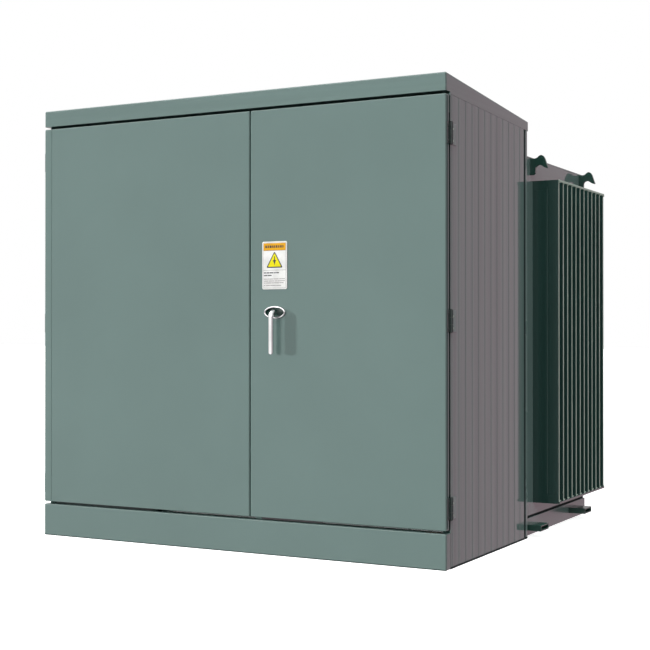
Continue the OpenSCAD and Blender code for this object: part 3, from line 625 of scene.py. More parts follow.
def groove_tree():
    """A sheet with pressed grooves at an even pitch; it lies along Y and Z and its top falls along Y."""
    tree = Tree("grooved_sheet")
    depth = tree.ask("Depth")
    height = tree.ask("Height")
    fall = tree.ask("Top Fall")
    pitch = tree.ask("Pitch")
    first = tree.ask("First Groove")
    width = tree.ask("Groove Width")
    press = tree.ask("Groove Depth")
    columns = tree.ask("Columns", "NodeSocketInt")
    material = tree.ask("Material", "NodeSocketMaterial")
    sheet = tree.add("GeometryNodeMeshGrid")
    tree.link(depth, sheet.inputs["Size X"])
    tree.link(height, sheet.inputs["Size Y"])
    tree.link(columns, sheet.inputs["Vertices X"])
    sheet.inputs["Vertices Y"].default_value = 2
    place = tree.add("GeometryNodeInputPosition")
    parts = tree.add("ShaderNodeSeparateXYZ")
    tree.link(place.outputs[0], parts.inputs[0])
    along = tree.maths("ADD", parts.outputs["X"], tree.maths("MULTIPLY", depth, 0.5))
    share_up = tree.maths("ADD", tree.maths("DIVIDE", parts.outputs["Y"], height), 0.5)
    fallen = tree.maths("MULTIPLY", fall, tree.maths("DIVIDE", along, depth))
    top_here = tree.maths("SUBTRACT", height, fallen)
    up = tree.maths("MULTIPLY", share_up, top_here)
    shifted = tree.maths("ADD", tree.maths("SUBTRACT", along, first), tree.maths("MULTIPLY", pitch, 0.5))
    wrapped = tree.maths("FLOORED_MODULO", shifted, pitch)
    distance = tree.maths("ABSOLUTE", tree.maths("SUBTRACT", wrapped, tree.maths("MULTIPLY", pitch, 0.5)))
    share_out = tree.maths("DIVIDE", distance, tree.maths("MULTIPLY", width, 0.5))
    ratio = tree.maths("MINIMUM", share_out, 1.0)
    wave = tree.maths("COSINE", tree.maths("MULTIPLY", ratio, math.pi))
    pressed = tree.maths("MULTIPLY", tree.maths("MULTIPLY_ADD", wave, 0.5, 0.5), press)
    inward = tree.maths("MULTIPLY", pressed, -1.0)
    join = tree.add("ShaderNodeCombineXYZ")
    tree.link(inward, join.inputs["X"])
    tree.link(along, join.inputs["Y"])
    tree.link(up, join.inputs["Z"])
    move = tree.add("GeometryNodeSetPosition")
    tree.link(sheet.outputs["Mesh"], move.inputs["Geometry"])
    tree.link(join.outputs[0], move.inputs["Position"])
    tree.close(move.outputs[0], material)
    return tree


def ring_tree():
    """Copies a shape around an axis along Y, from one angle on with an even turn."""
    tree = Tree("even_ring")
    count = tree.ask("Count", "NodeSocketInt")
    start = tree.ask("Start Angle")
    turn = tree.ask("Turn")
    material = tree.ask("Material", "NodeSocketMaterial")
    line = tree.add("GeometryNodeMeshLine", mode="OFFSET")
    tree.link(count, line.inputs["Count"])
    line.inputs["Offset"].default_value = (0, 0, 0)
    index = tree.add("GeometryNodeInputIndex")
    angle = tree.maths("ADD", start, tree.maths("MULTIPLY", index.outputs[0], turn))
    join = tree.add("ShaderNodeCombineXYZ")
    tree.link(angle, join.inputs["Y"])
    copies = tree.add("GeometryNodeInstanceOnPoints")
    tree.link(line.outputs[0], copies.inputs["Points"])
    tree.link(tree.start.outputs["Geometry"], copies.inputs["Instance"])
    tree.link(join.outputs[0], copies.inputs["Rotation"])
    tree.close(copies.outputs[0], material)
    return tree


EVEN_ROW = row_tree()
EVEN_RING = ring_tree()
GROOVED_SHEET = groove_tree()

# ---- Side panels ----


def side_panel(name, node, side):
    """A grooved side panel with its folds and its rear trim; side is 1 on the right, -1 on the left."""
    low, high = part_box(node)
    outer = high.x if side > 0 else -low.x
    inner = outer - SHEET
    rear = high.y - TRIM_WIDTH - TRIM_GAP
    rim_gap = 0.0006
    front_top = rim_height(low.y) - rim_gap
    rear_top = rim_height(rear) - rim_gap
    low_top = rim_height(high.y) - rim_gap
    sheet = new_object(name, bpy.data.meshes.new(name))
    GROOVED_SHEET.run(sheet, Depth=rear - low.y, Height=front_top - low.z, Top_Fall=front_top - rear_top,
                      Pitch=GROOVE_PITCH, First_Groove=FIRST_GROOVE, Groove_Width=GROOVE_WIDTH,
                      Groove_Depth=GROOVE_DEPTH, Columns=GROOVE_COLUMNS, Material=side_enamel)
    sheet.data.transform(Matrix.Translation((outer, low.y, low.z)))
    bm = bmesh.new()
    bm.from_mesh(sheet.data)
    if bm.faces[:][0].normal.x < 0:
        bmesh.ops.reverse_faces(bm, faces=bm.faces)
    bm.to_mesh(sheet.data)
    bm.free()
    solidify(sheet, SHEET)
    front_fold, rear_fold, foot_fold, top_fold, top_lap, end_gap = 0.028, 0.060, 0.045, 0.04, 0.024, 0.004
    foot_height, trim_radius = 0.007, 0.0025
    shade_strip_depth, shade_strip_lap, strip_lap = 0.0004, 0.004, 0.001
    folds = bmesh.new()
    add_block(folds, (outer - rear_fold, high.y - SHEET, low.z), (inner, high.y, low_top))
    add_block(folds, (outer - foot_fold, low.y, low.z), (inner, high.y - end_gap, low.z + SHEET))
    add_block(folds, (inner - SHEET, low.y, low_top - top_fold),
              (inner, high.y - end_gap, low_top + top_lap))
    # Near-black strips in the gap behind the door, in the joggle before the rear trim and along the foot: painted
    # shade.
    shade_strips = bmesh.new()
    add_block(shade_strips, (outer - front_fold, low.y, low.z), (inner, low.y + SHEET, low_top - top_fold))
    add_block(shade_strips, (inner - shade_strip_lap, rear - strip_lap, low.z),
              (outer - shade_strip_depth, high.y - TRIM_WIDTH + SHEET, low_top))
    add_block(shade_strips, (inner, low.y, low.z), (outer + PRINT_GAP, high.y, low.z + foot_height))
    trim = bmesh.new()
    add_block(trim, (inner - strip_lap, high.y - TRIM_WIDTH, low.z + foot_height), (outer, high.y, low_top))
    round_edges(trim, trim_radius, 3)
    made = join_meshes(name, [sheet, shape("folds", folds, side_enamel), shape("shade_strips", shade_strips, gap_shade_enamel),
                              shape("trim", trim, trim_enamel)])
    if side < 0:
        mirrored(made)
    return finish_piece(made, TANK, None, (node,))


side_panel("right_grooved_side", "right_side_panel", 1)
side_panel("left_grooved_side", "left_side_panel", -1)

# ---- Tank ----


def weld_bead(bm, start, end, radius=WELD_RADIUS, sides=8):
    """A round bead between two points."""
    start, end = Vector(start), Vector(end)
    turn = (end - start).to_track_quat("Z", "Y").to_matrix().to_4x4()
    move = Matrix.Translation((start + end) / 2) @ turn
    bmesh.ops.create_cone(bm, cap_ends=True, segments=sides, radius1=radius, radius2=radius,
                          depth=(end - start).length, matrix=move)


def tank():
    """The tank's walls with rounded corners and two welded seams up the back."""
    low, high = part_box("tank_shell")
    corner_radius, seam_x, seam_radius, seam_end, seam_sunk = 0.008, 0.28, 0.002, 0.01, 0.0015
    bm = bmesh.new()
    add_block(bm, low, high)
    upright = [e for e in bm.edges if abs(e.verts[0].co.z - e.verts[1].co.z) > 0.5]
    round_edges(bm, corner_radius, 4, upright)
    beads = bmesh.new()
    seam_y = high.y - seam_sunk
    for x in (-seam_x, seam_x):
        weld_bead(beads, (x, seam_y, low.z + seam_end), (x, seam_y, high.z - seam_end), seam_radius)
    return join_meshes("tank_walls", [shape("walls", bm), shape("beads", beads)])


def tank_top():
    """The tank's top plate with a weld bead around its edge."""
    low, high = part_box("tank_cover")
    edge, inset, sunk = 0.0015, 0.003, 0.0006
    bm = bmesh.new()
    add_block(bm, low, high)
    round_edges(bm, edge, 2)
    left, right, front, back = low.x + inset, high.x - inset, low.y + inset, high.y - inset
    corners = [(left, front), (right, front), (right, back), (left, back)]
    for a, b in zip(corners, corners[1:] + corners[:1]):
        weld_bead(bm, (*a, high.z - sunk), (*b, high.z - sunk))
    return shape("tank_top_plate", bm)


finish_piece(tank(), TANK, tank_enamel, ("tank_shell",))
finish_piece(tank_top(), TANK, tank_enamel, ("tank_cover",))

# ---- Cooling fins ----

# A fin's pressed face: distance from the tank, and how far the face stands back from the full thickness
FIN_PRESSING = [
    (0, 0.0006), (0.0100, 0.0006), (0.0125, 0), (0.0300, 0), (0.0314, 0.0003), (0.0330, 0.0003),
    (0.0344, 0), (0.0585, 0), (0.0602, 0.0005), (0.0622, 0.0005), (0.0640, 0.0002), (0.0940, 0),
    (0.1035, 0), (0.1050, 0.0010)
]
# The same from each end of the fin
FIN_BORDER = [
    (0, 0.0006), (0.0230, 0.0006), (0.0250, 0.0002), (0.0330, 0.0002), (0.0345, 0.0006), (0.0370, 0.0006),
    (0.0390, 0)
]
fin_low, fin_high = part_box("right_cooling_fins")
bar_low, bar_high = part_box("fin_tie_bars")
fin_middle = fin_low.y + FIN_THICKNESS / 2


def fin_shape(name):
    """One pressed-steel fin with a channel, fine seams and a flat border at each end."""
    full = fin_high.z - fin_low.z
    rows = FIN_BORDER + [(full - end, back) for end, back in reversed(FIN_BORDER)]
    bm = bmesh.new()
    grid = {}
    for side in (-1, 1):
        for r, (z, end_back) in enumerate(rows):
            for c, (x, seam_back) in enumerate(FIN_PRESSING):
                half = FIN_THICKNESS / 2 - max(seam_back, end_back)
                grid[side, r, c] = bm.verts.new((fin_low.x + x, fin_middle + side * half, fin_low.z + z))
    last_row, last_column = len(rows) - 1, len(FIN_PRESSING) - 1

    def quad(*corners):
        bm.faces.new([grid[corner] for corner in corners])

    for side in (-1, 1):
        for r in range(last_row):
            for c in range(last_column):
                quad((side, r, c), (side, r, c + 1), (side, r + 1, c + 1), (side, r + 1, c))
    for c in range(last_column):
        for r in (0, last_row):
            quad((-1, r, c), (-1, r, c + 1), (1, r, c + 1), (1, r, c))
    for r in range(last_row):
        for c in (0, last_column):
            quad((-1, r, c), (-1, r + 1, c), (1, r + 1, c), (1, r, c))
    return shape(name, bm, smooth_angle=math.radians(20))


def fin_rim(name):
    """The light edge that runs down the outside of one fin: a painted highlight."""
    inset, thickness, proud = 0.0015, 0.0012, 0.0006
    bm = bmesh.new()
    add_block(bm, (fin_high.x - thickness, fin_low.y + inset, fin_low.z),
              (fin_high.x + proud, fin_low.y + FIN_THICKNESS - inset, fin_high.z))
    round_edges(bm, SOFT_EDGE, 3)
    return shape(name, bm)


def edge_beads(name):
    """Two weld beads where one fin meets the bars along the fins' edges."""
    from_end, radius = 0.010, 0.0018
    before, below = 0.004, 0.0015
    after, above = 0.014, 0.0020
    x = fin_high.x + 0.001
    bm = bmesh.new()
    for z in (bar_low.z + from_end, bar_high.z - from_end):
        weld_bead(bm, (x, fin_middle - before, z - below), (x, fin_middle + after, z + above), radius)
    return shape(name, bm)


def fin_bank(name, node, side):
    """A row of fins with their rims and beads; side is 1 on the right, -1 on the left."""
    step = (0, (fin_high.y - fin_low.y - FIN_THICKNESS) / (FIN_COUNT - 1), 0)
    # The fins take the dark fin paint, painted shade; their rims and beads take the light paint, a painted
    # highlight.
    parts = [EVEN_ROW.run(one, Count=FIN_COUNT, Step=step, Material=material)
             for one, material in ((fin_shape("fin"), fin_shade_enamel), (fin_rim("rim"), rim_highlight_enamel),
                                   (edge_beads("beads"), rim_highlight_enamel))]
    made = join_meshes(name, parts)
    if side < 0:
        mirrored(made)
    return finish_piece(made, TANK, None, (node,))


fin_bank("right_fin_bank", "right_cooling_fins", 1)
fin_bank("left_fin_bank", "left_cooling_fins", -1)


def tie_bars():
    """The bars across the fins' outer edges; the upper ones take the light rim paint, a painted highlight, and
    the lower ones the dark fin paint, painted shade.
    """
    made = shape("fin_edge_bars", softened("fin_tie_bars", 0.0012), rim_highlight_enamel)
    made.data.materials.append(fin_shade_enamel)
    middle = (bar_low.z + bar_high.z) / 2
    for face in made.data.polygons:
        face.material_index = 0 if face.center.z > middle else 1
    return finish_piece(made, TANK, None, ("fin_tie_bars",))


tie_bars()

# ---- Lifting hooks ----

# Outline of a hook, out from the tank wall and up from the tank's top
HOOK_OUTLINE = [
    (0, -0.070), (0.012, -0.070), (0.020, -0.065), (0.0225, -0.054), (0.023, -0.044), (0.028, -0.036),
    (0.039, -0.0325), (0.050, -0.037), (0.060, -0.0435), (0.072, -0.046), (0.0685, -0.034), (0.064, -0.020),
    (0.0595, -0.008), (0.053, 0.002), (0.0445, 0.0058), (0.036, 0.0025), (0.028, -0.004), (0.017, -0.0065),
    (0.008, -0.0060), (0, -0.003)
]


def smooth_outline(points, steps=4):
    """Runs a smooth curve through the outline's points, except at the straight wall side."""
    out = []
    count = len(points)
    for i in range(count - 1):
        before, a = Vector(points[max(i - 1, 0)]), Vector(points[i])
        b, after = Vector(points[i + 1]), Vector(points[min(i + 2, count - 1)])
        for s in range(steps):
            t = s / steps
            out.append(0.5 * ((2 * a) + (b - before) * t + (2 * before - 5 * a + 4 * b - after) * t * t
                              + (3 * a - before - 3 * b + after) * t ** 3))
    out.append(Vector(points[-1]))
    return out


def lifting_hooks():
    """Four hooks cut from thick plate, welded to the tank's walls."""
    low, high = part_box("lifting_hooks")
    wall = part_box("tank_shell")[1].x
    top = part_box("tank_cover")[1].z
    thick = 0.012
    outline = smooth_outline(HOOK_OUTLINE)
    sunk = 0.001
    bm = bmesh.new()
    for side in (-1, 1):
        for y in (low.y, high.y - thick):
            loops = [[bm.verts.new((side * (wall - sunk + p.x), y + dy, top + p.y)) for p in outline]
                     for dy in (0, thick)]
            for loop in loops:
                bm.faces.new(loop)
            count = len(outline)
            for i in range(count):
                j = (i + 1) % count
                bm.faces.new((loops[0][i], loops[0][j], loops[1][j], loops[1][i]))
    bmesh.ops.recalc_face_normals(bm, faces=bm.faces)
    round_edges(bm, 0.0014, 2, least_angle=math.radians(60))
    return shape("tank_lifting_hooks", bm)


# The hooks take the darkened fitting paint: painted shade.
finish_piece(lifting_hooks(), TANK, fitting_shade_enamel, ("lifting_hooks",))

# ---- Handhole bolts ----


def hex_bolt(name, place, shank, head_radius, head_height):
    """A hexagon bolt head with a washer, standing on place, with its shank below."""
    washer, washer_share, shank_radius = 0.0015, 1.25, 0.005
    bm = bmesh.new()

    def disc(radius, bottom, height, sides):
        move = Matrix.Translation(place + Vector((0, 0, bottom + height / 2)))
        bmesh.ops.create_cone(bm, cap_ends=True, segments=sides, radius1=radius, radius2=radius,
                              depth=height, matrix=move)

    disc(head_radius * washer_share, 0, washer, 24)
    disc(head_radius, washer, head_height, 6)
    round_edges(bm, 0.0007, 2, least_angle=math.radians(50))
    disc(shank_radius, -shank, shank, 16)
    return shape(name, bm)


def handhole_bolts():
    """Two rows of five bolts along the cover and a pair between them."""
    low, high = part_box("handhole_cover")
    bolt_low, bolt_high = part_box("handhole_bolts")
    shank, head_radius, head_height, from_edge, cover = 0.028, 0.009, 0.007, 0.02, 0.006
    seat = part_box("handhole_gasket")[1].z + cover
    first_x, last_x = bolt_low.x + head_radius, bolt_high.x - head_radius
    length = last_x - first_x
    rows = []
    for y, count in ((low.y + from_edge, 5), (high.y - from_edge, 5), ((low.y + high.y) / 2, 2)):
        bolt = hex_bolt("bolt_row", Vector((first_x, y, seat)), shank, head_radius, head_height)
        step = (length / (count - 1), 0, 0)
        rows.append(EVEN_ROW.run(bolt, Count=count, Step=step, Material=zinc))
    return join_meshes("access_cover_bolts", rows)


finish_piece(handhole_bolts(), TANK, zinc, ("handhole_bolts",))

# ---- Hinges ----


def plain_bar(bm, centre, axis, radius, length, sides=24, chamfer=0.0):
    """A round bar about an axis, with a small chamfer at its ends."""
    turn = Vector(axis).to_track_quat("Z", "Y").to_matrix().to_4x4()
    made = bmesh.ops.create_cone(bm, cap_ends=True, segments=sides, radius1=radius, radius2=radius,
                                 depth=length, matrix=Matrix.Translation(centre) @ turn)["verts"]
    if chamfer:
        corners = {e for v in made for e in v.link_edges if len(e.link_faces) == 2}
        round_edges(bm, chamfer, 2, [e for e in corners if e.calc_face_angle() > SHARP_CORNER])


def hinge_parts(side, on_door):
    """The hinge leaves on one side of the cabinet: knuckles, leaf plates and screws, in their finishes."""
    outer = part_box("right_side_panel")[1].x
    third = HINGE_HEIGHT / 3
    knuckle, plate, knuckle_gap = 0.0065, 0.0025, 0.0008
    screw_radius, screw_head, screw_proud = 0.0040, 0.0024, 0.0010
    centre_x = outer + 0.0055
    centre_y = front_y + 0.031
    from_pin = 0.0035
    if on_door:
        leaf_y, screw_y = (centre_y - 0.027, centre_y - from_pin), centre_y - 0.019
        screw_rows, knuckle_rows = (-0.026, 0.026), (0,)
    else:
        leaf_y, screw_y = (centre_y + from_pin, centre_y + 0.051), centre_y + 0.021
        screw_rows, knuckle_rows = (-0.024, 0.016), (-1, 1)
    knuckles, plates, screws = bmesh.new(), bmesh.new(), bmesh.new()
    for z in HINGE_HEIGHTS:
        for row in knuckle_rows:
            middle = Vector((centre_x, centre_y, z + row * (third + knuckle_gap / 2)))
            plain_bar(knuckles, middle, (0, 0, 1), knuckle, third - knuckle_gap, 28, SOFT_EDGE)
        add_block(plates, (outer, leaf_y[0], z - HINGE_HEIGHT / 2),
                  (outer + plate, leaf_y[1], z + HINGE_HEIGHT / 2))
        for dz in screw_rows:
            head = Vector((outer + plate + screw_proud, screw_y, z + dz))
            plain_bar(screws, head, (1, 0, 0), screw_radius, screw_head, 20, 0.0009)
    round_edges(plates, 0.0007, 2)
    # Knuckles, door-side leaves and screws take the dark hinge paint, painted shade in the gap; the cabinet-side
    # screw heads take the light paint, a painted highlight.
    leaf_finish = hinge_shade_enamel if on_door else trim_enamel
    screw_finish = hinge_shade_enamel if on_door else rim_highlight_enamel
    made = [shape("hinge_part", bm, material)
            for bm, material in ((knuckles, hinge_shade_enamel), (plates, leaf_finish), (screws, screw_finish))]
    return made if side > 0 else [mirrored(part) for part in made]


both_sides = join_meshes("cabinet_hinge_leaves", hinge_parts(1, False) + hinge_parts(-1, False))
finish_piece(both_sides, TANK, None, ("hinge_body_leaves",))
for body, side in (("right_door", 1), ("left_door", -1)):
    leaves = join_meshes(body + "_hinge_set", hinge_parts(side, True))
    finish_piece(leaves, body, None, (body + "_hinge_leaves",))

# ---- Handle, escutcheon and label ----


def escutcheon():
    """The oval ring with its cup behind it; the cup takes the darkened fitting paint, painted shade in the
    recess.
    """
    a = (escutcheon_high.x - escutcheon_low.x) / 2
    b = (escutcheon_high.z - escutcheon_low.z) / 2
    front, back = escutcheon_low.y, escutcheon_high.y
    # How far each oval stands in from the edge, and how far behind the front
    bulge = [(0, 0.0040), (0.0006, 0.0022), (0.0020, 0.0007), (0.0038, 0), (0.0054, 0.0007),
             (0.0066, 0.0024), (0.0070, 0.0048)]
    behind = [(a - 0.0071, b - 0.0062, back), (a - 0.0071, b - 0.0062, face_y), (a, b, face_y)]
    inside = [(a - 0.0072, b - 0.0072, back - 0.007), (a - 0.0090, b - 0.0085, back - 0.004),
              (a - 0.0160, b - 0.0140, back - 0.003)]
    ring = [(a - inward, b - inward, front + deep) for inward, deep in bulge]
    made = oval_stack("handle_oval_cup", handle_centre, behind + ring + inside)
    made.data.materials.append(ring_steel)
    made.data.materials.append(fitting_shade_enamel)
    ring_depth = 0.005
    for face in made.data.polygons:
        face.material_index = 1 if face.center.y > front + ring_depth else 0
    return made


finish_piece(escutcheon(), "right_door", None, ("handle_escutcheon",))


def handle_rod():
    """The handle: out of the cup, round a bend and straight down, with a rounded end."""
    radius = (handle_high.x - handle_low.x) / 2
    front = handle_low.y + radius
    bend, bend_steps, end_steps, end_share, tip_share = 0.017, 10, 6, 0.8, 0.02
    # Each point: y, z and the rod's radius there as a share
    path = [(handle_high.y, handle_centre.z, 1.0)]
    for i in range(bend_steps + 1):
        angle = math.pi / 2 * i / bend_steps
        down = bend * (1 - math.cos(angle))
        path.append((front + bend * (1 - math.sin(angle)), handle_centre.z - down, 1.0))
    for i in range(end_steps + 1):
        angle = math.pi / 2 * i / end_steps
        above = radius * (1 - math.sin(angle)) * end_share
        path.append((front, handle_low.z + above, max(math.cos(angle), tip_share)))
    curve = bpy.data.curves.new("handle_rod", "CURVE")
    curve.dimensions = "3D"
    curve.bevel_depth = radius
    curve.bevel_resolution = 8
    curve.use_fill_caps = True
    spline = curve.splines.new("POLY")
    spline.points.add(len(path) - 1)
    for point, (y, z, share) in zip(spline.points, path):
        point.co = (handle_centre.x, y, z, 1)
        point.radius = share
    drawn = new_object("handle_path", curve)
    bpy.context.view_layer.update()
    graph = bpy.context.evaluated_depsgraph_get()
    bm = bmesh.new()
    bm.from_mesh(bpy.data.meshes.new_from_object(drawn.evaluated_get(graph)))
    bpy.data.objects.remove(drawn)
    return shape("bent_handle_rod", bm, smooth_angle=math.radians(60))


finish_piece(handle_rod(), "handle", polished, ("door_handle",))


label_white = moulded("label_white", (0.90, 0.90, 0.88), 0.5)
label_orange = moulded("label_orange", (0.80, 0.40, 0.008), 0.5)
label_yellow = moulded("label_yellow", (0.90, 0.80, 0.004), 0.5)
label_black = moulded("label_black", (0.02, 0.02, 0.03), 0.45)
label_grey = moulded("label_grey", (0.06, 0.06, 0.07), 0.45)
label_line = moulded("label_line", (0.20, 0.17, 0.18), 0.45)
LABEL_INKS = (label_white, label_orange, label_yellow, label_black, label_grey, label_line)
WHITE, ORANGE, YELLOW, BLACK, GREY, LINE = range(6)
# Rows of blocks in place of words: top (share of the height), height, and where each block starts and ends
BLOCK_ROWS = [
    (0.645, 0.022, ((0.07, 0.16), (0.18, 0.29), (0.31, 0.46), (0.48, 0.55), (0.57, 0.68)), GREY),
    (0.700, 0.022, ((0.07, 0.21), (0.23, 0.38)), GREY),
    (0.780, 0.011, ((0.07, 0.19), (0.21, 0.27), (0.29, 0.44), (0.46, 0.66), (0.68, 0.92)), LINE),
    (0.822, 0.011, ((0.07, 0.25), (0.27, 0.49), (0.51, 0.60), (0.62, 0.92)), LINE),
    (0.862, 0.011, ((0.07, 0.13), (0.15, 0.38), (0.40, 0.68), (0.70, 0.86)), LINE),
    (0.915, 0.011, ((0.07, 0.12), (0.16, 0.31), (0.33, 0.55), (0.57, 0.77)), LINE),
    (0.084, 0.050, ((0.13, 0.19), (0.22, 0.27), (0.30, 0.38), (0.41, 0.46), (0.49, 0.53), (0.56, 0.62),
                    (0.65, 0.70), (0.73, 0.79), (0.82, 0.86)), BLACK)
]


def rounded_box(u0, v0, u1, v1, radius, steps=6):
    """Outline of a box with rounded corners."""
    points = []
    for cu, cv, turn in ((u1 - radius, v1 - radius, 0), (u0 + radius, v1 - radius, 1),
                         (u0 + radius, v0 + radius, 2), (u1 - radius, v0 + radius, 3)):
        for i in range(steps + 1):
            angle = math.pi / 2 * (turn + i / steps)
            points.append((cu + radius * math.cos(angle), cv + radius * math.sin(angle)))
    return points


def rounded_triangle(middle, half, foot, tip, radius, steps=5):
    """Outline of an upright triangle with rounded corners."""
    corners = [Vector((middle + half, foot)), Vector((middle, tip)), Vector((middle - half, foot))]
    points = []
    for k in range(3):
        corner = corners[k]
        to_last = (corners[k - 1] - corner).normalized()
        to_next = (corners[(k + 1) % 3] - corner).normalized()
        inward = (to_last + to_next).normalized()
        half_angle = to_last.angle(to_next) / 2
        centre = corner + inward * (radius / math.sin(half_angle))
        start = corner + to_last * (radius / math.tan(half_angle)) - centre
        end = corner + to_next * (radius / math.tan(half_angle)) - centre
        sweep = start.angle_signed(end)
        for i in range(steps + 1):
            turned = start.copy()
            turned.rotate(Matrix.Rotation(-sweep * i / steps, 2))
            points.append(tuple(centre + turned))
    return points


def label():
    """A plain notice plate: a colour band, a triangle with a bar in it, and blocks in place of words."""
    low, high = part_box("label_plate")
    width = high.x - low.x
    height = high.z - low.z
    bm = bmesh.new()

    def raised(points, index, layer):
        """A flat shape on the plate, one layer of ink above another; layer 0 is the plate itself."""
        ink = 0.00015
        front = low.y - ink * layer
        back = high.y if layer == 0 else low.y + ink
        loops = [[bm.verts.new((low.x + u, y, low.z + v)) for u, v in points] for y in (front, back)]
        made = [bm.faces.new(loops[0]), bm.faces.new(loops[1])]
        for i in range(len(points)):
            j = (i + 1) % len(points)
            made.append(bm.faces.new((loops[0][i], loops[0][j], loops[1][j], loops[1][i])))
        for face in made:
            face.material_index = index

    def bar(u0, top, u1, depth, index, layer):
        left, right, foot, head = u0 * width, u1 * width, height * (1 - top - depth), height * (1 - top)
        raised([(left, foot), (right, foot), (right, head), (left, head)], index, layer)

    raised(rounded_box(0, 0, width, height, 0.006), WHITE, 0)
    edge = 0.0042
    raised(rounded_box(edge, edge, width - edge, height - edge, 0.003), LINE, 1)
    edge += 0.0007
    raised(rounded_box(edge, edge, width - edge, height - edge, 0.0025), WHITE, 2)
    bar(0.055, 0.036, 0.945, 0.150, ORANGE, 3)
    bar(0.055, 0.186, 0.945, 0.006, BLACK, 3)
    bar(0.055, 0.598, 0.945, 0.006, LINE, 3)
    middle = width * 0.5
    raised(rounded_triangle(middle, 0.0335, height * 0.448, height * 0.795, 0.0030), BLACK, 3)
    raised(rounded_triangle(middle, 0.0272, height * 0.471, height * 0.756, 0.0020), YELLOW, 4)
    mark = [(0, 0.500), (0.0030, 0.560), (0.0022, 0.572), (0.0075, 0.592), (0.0022, 0.612),
            (0.0014, 0.690), (-0.0014, 0.690), (-0.0022, 0.612), (-0.0075, 0.592), (-0.0022, 0.572),
            (-0.0030, 0.560)]
    raised([(middle + u, height * v) for u, v in mark], BLACK, 5)
    for top, depth, blocks, index in BLOCK_ROWS:
        for start, end in blocks:
            bar(start, top, end, depth, index, 4)
    made = shape("notice_plate", bm, smooth_angle=math.radians(30))
    for material in LABEL_INKS:
        made.data.materials.append(material)
    return finish_piece(made, "right_door", None, ("label_plate",))


label()

# ---- Gauge dials ----


def gauge_dial(name, centre, count, start, turn):
    """A white dial with ticks, lying in a gauge case."""
    radius, thickness = 0.0470, 0.0010
    bm = bmesh.new()
    plain_bar(bm, Vector((0, 0, 0)), (0, 1, 0), radius, thickness, 64)
    tick = bmesh.new()
    add_block(tick, (-0.0008, -0.0009, 0.034), (0.0008, -0.0004, 0.042))
    ticks = EVEN_RING.run(shape("ticks", tick), Count=count, Start_Angle=math.radians(start),
                          Turn=math.radians(turn), Material=label_black)
    made = join_meshes(name, [shape("dial_plate", bm, dial_white), ticks])
    made.data.transform(Matrix.Translation(centre))
    return finish_piece(made, TANK, None)


case_low, case_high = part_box("gauge_cases")
gauge_z = (case_low.z + case_high.z) / 2
GAUGE_RADIUS = 0.052
DIAL_OUT = 0.0127
dial_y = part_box("tank_shell")[0].y - DIAL_OUT
gauge_dial("level_dial", Vector((case_low.x + GAUGE_RADIUS, dial_y, gauge_z)), 9, -60, 15)
gauge_dial("temperature_dial", Vector((case_high.x - GAUGE_RADIUS, dial_y, gauge_z)), 13, -120, 20)

# ---- Studio ----


def floor():
    """A plain white floor, with a dark tile under the cabinet: painted shade for the inside of the closed
    cabinet.
    """
    size, paleness, dullness, shade_tile = 60, 0.86, 0.9, 4
    low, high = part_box("right_side_panel")
    edges_x = (-size, SHEET - high.x, high.x - SHEET, size)
    edges_y = (-size, low.y, high.y, size)
    corners = [(x, y, 0) for y in edges_y for x in edges_x]
    tiles = [(4 * r + c, 4 * r + c + 1, 4 * r + c + 5, 4 * r + c + 4) for r in range(3) for c in range(3)]
    mesh = bpy.data.meshes.new("studio_floor")
    mesh.from_pydata(corners, [], tiles)
    made = new_object("studio_floor", mesh)
    pale = Finish("pale_floor", (paleness, paleness, paleness), dullness)
    pale.set(Emission_Color=(1, 1, 1, 1), Emission_Strength=paleness)
    pale.bump(pale.noise(80, 3), 0.0003, 0.2)
    mesh.materials.append(pale.material)
    # The tile under the cabinet is dark: painted shade for the inside of the closed cabinet.
    mesh.materials.append(Finish("under_cabinet_shade", (0.05, 0.05, 0.05), dullness).material)
    mesh.polygons[shade_tile].material_index = 1
    made.visible_diffuse = False
    made.visible_glossy = False


def far_light(name, travel, strength, spread):
    """Even light that travels in one direction, soft by the spread of its angle."""
    data = bpy.data.lights.new(name, "SUN")
    data.energy = strength
    data.angle = math.radians(spread)
    made = new_object(name, data)
    made.rotation_euler = Vector(travel).to_track_quat("-Z", "Y").to_euler()
    made.visible_glossy = False


# What the gloss reflects, by compass angle in degrees (0 is +X, 90 is +Y) and brightness times colour
HORIZON = [
    (-180, (1.0, 1.0, 1.0)), (-104, (1.0, 1.0, 1.0)), (-100, (1.5, 1.5, 1.5)), (-82, (1.5, 1.5, 1.5)),
    (-78, (0.8, 0.8, 0.8)), (-33, (0.8, 0.78, 0.8)), (-27, (0.50, 0.45, 0.48)), (48, (0.36, 0.30, 0.34)),
    (56, (0.775, 0.50, 0.595)), (69, (0.775, 0.50, 0.595)), (73, (0.74, 0.54, 0.60)),
    (84, (0.74, 0.54, 0.60)), (110, (0.5, 0.5, 0.5)), (180, (1.0, 1.0, 1.0))
]
CEILING = [
    (-180, (3.2, 3.2, 3.2)), (-35, (3.2, 3.2, 3.2)), (-10, (0.30, 0.30, 0.30)), (130, (0.30, 0.30, 0.30)),
    (180, (3.2, 3.2, 3.2))
]
# Where the horizon's boxes give way to the ceiling's, as the sine of the height above the horizon
BLEND_FROM, BLEND_TO = 0.22, 0.36
RAMP_TOP = 4.0


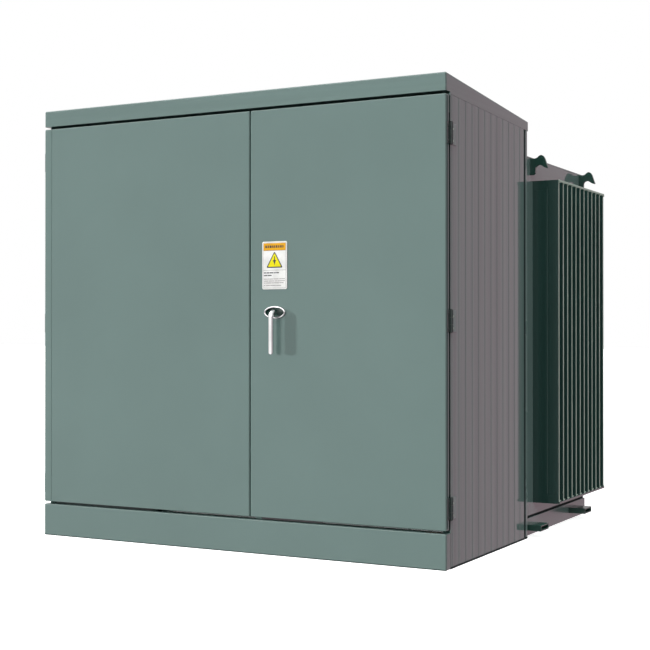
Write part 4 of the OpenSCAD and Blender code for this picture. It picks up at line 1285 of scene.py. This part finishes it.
def studio_world(soft_light=0.25):
    """White to the eye; a dim even light; and soft boxes around the object for its gloss to reflect."""
    world = bpy.data.worlds.new("studio")
    bpy.context.scene.world = world
    world.use_nodes = True
    nodes, links = world.node_tree.nodes, world.node_tree.links
    nodes.clear()

    def add(kind, **settings):
        made = nodes.new(kind)
        for key, value in settings.items():
            setattr(made, key, value)
        return made

    def background(strength, colour=(1, 1, 1)):
        made = add("ShaderNodeBackground")
        made.inputs["Color"].default_value = (*colour, 1)
        made.inputs["Strength"].default_value = strength
        return made

    def ramp(value, stops):
        made = add("ShaderNodeValToRGB")
        links.new(value, made.inputs["Fac"])
        points = made.color_ramp.elements
        while len(points) < len(stops):
            points.new(0.5)
        for point, (angle, colour) in zip(points, stops):
            point.position = (angle + 180) / 360
        for point, (angle, colour) in zip(points, stops):
            point.color = (*(c / RAMP_TOP for c in colour), 1)
        return made.outputs["Color"]

    def mix(fac, first, second):
        made = add("ShaderNodeMixShader")
        links.new(fac, made.inputs["Fac"])
        links.new(first, made.inputs[1])
        links.new(second, made.inputs[2])
        return made.outputs[0]

    direction = add("ShaderNodeTexCoord")
    parts = add("ShaderNodeSeparateXYZ")
    links.new(direction.outputs["Generated"], parts.inputs[0])
    compass = add("ShaderNodeMath", operation="ARCTAN2")
    links.new(parts.outputs["Y"], compass.inputs[0])
    links.new(parts.outputs["X"], compass.inputs[1])
    turn = add("ShaderNodeMapRange")
    turn.inputs["From Min"].default_value = -math.pi
    turn.inputs["From Max"].default_value = math.pi
    links.new(compass.outputs[0], turn.inputs["Value"])
    height = add("ShaderNodeMapRange")
    height.inputs["From Min"].default_value = BLEND_FROM
    height.inputs["From Max"].default_value = BLEND_TO
    links.new(parts.outputs["Z"], height.inputs["Value"])
    boxes = []
    for stops in (HORIZON, CEILING):
        band = background(RAMP_TOP)
        links.new(ramp(turn.outputs["Result"], stops), band.inputs["Color"])
        boxes.append(band.outputs[0])
    around = mix(height.outputs["Result"], boxes[0], boxes[1])
    path = add("ShaderNodeLightPath")
    lit = mix(path.outputs["Is Diffuse Ray"], around, background(soft_light).outputs[0])
    seen = mix(path.outputs["Is Camera Ray"], lit, background(1.0).outputs[0])
    out = add("ShaderNodeOutputWorld")
    links.new(seen, out.inputs["Surface"])


def camera():
    data = bpy.data.cameras.new("camera")
    data.lens = 73.44
    data.sensor_width = 36
    made = new_object("camera", data)
    made.location = (2.5608, face_y - 4.0462, 0.7844)
    made.rotation_euler = (math.radians(90.356), 0, math.radians(28.171))
    bpy.context.scene.camera = made


floor()
studio_world()
camera()
far_light("key", (0.921, 0.391, -0.02), 2.5, 3)
far_light("fill", (0.55, 0.835, -0.02), 1.62, 20)
far_light("overhead", (0, 0, -1), 1.8, 20)
bpy.context.scene.view_settings.view_transform = "Standard"
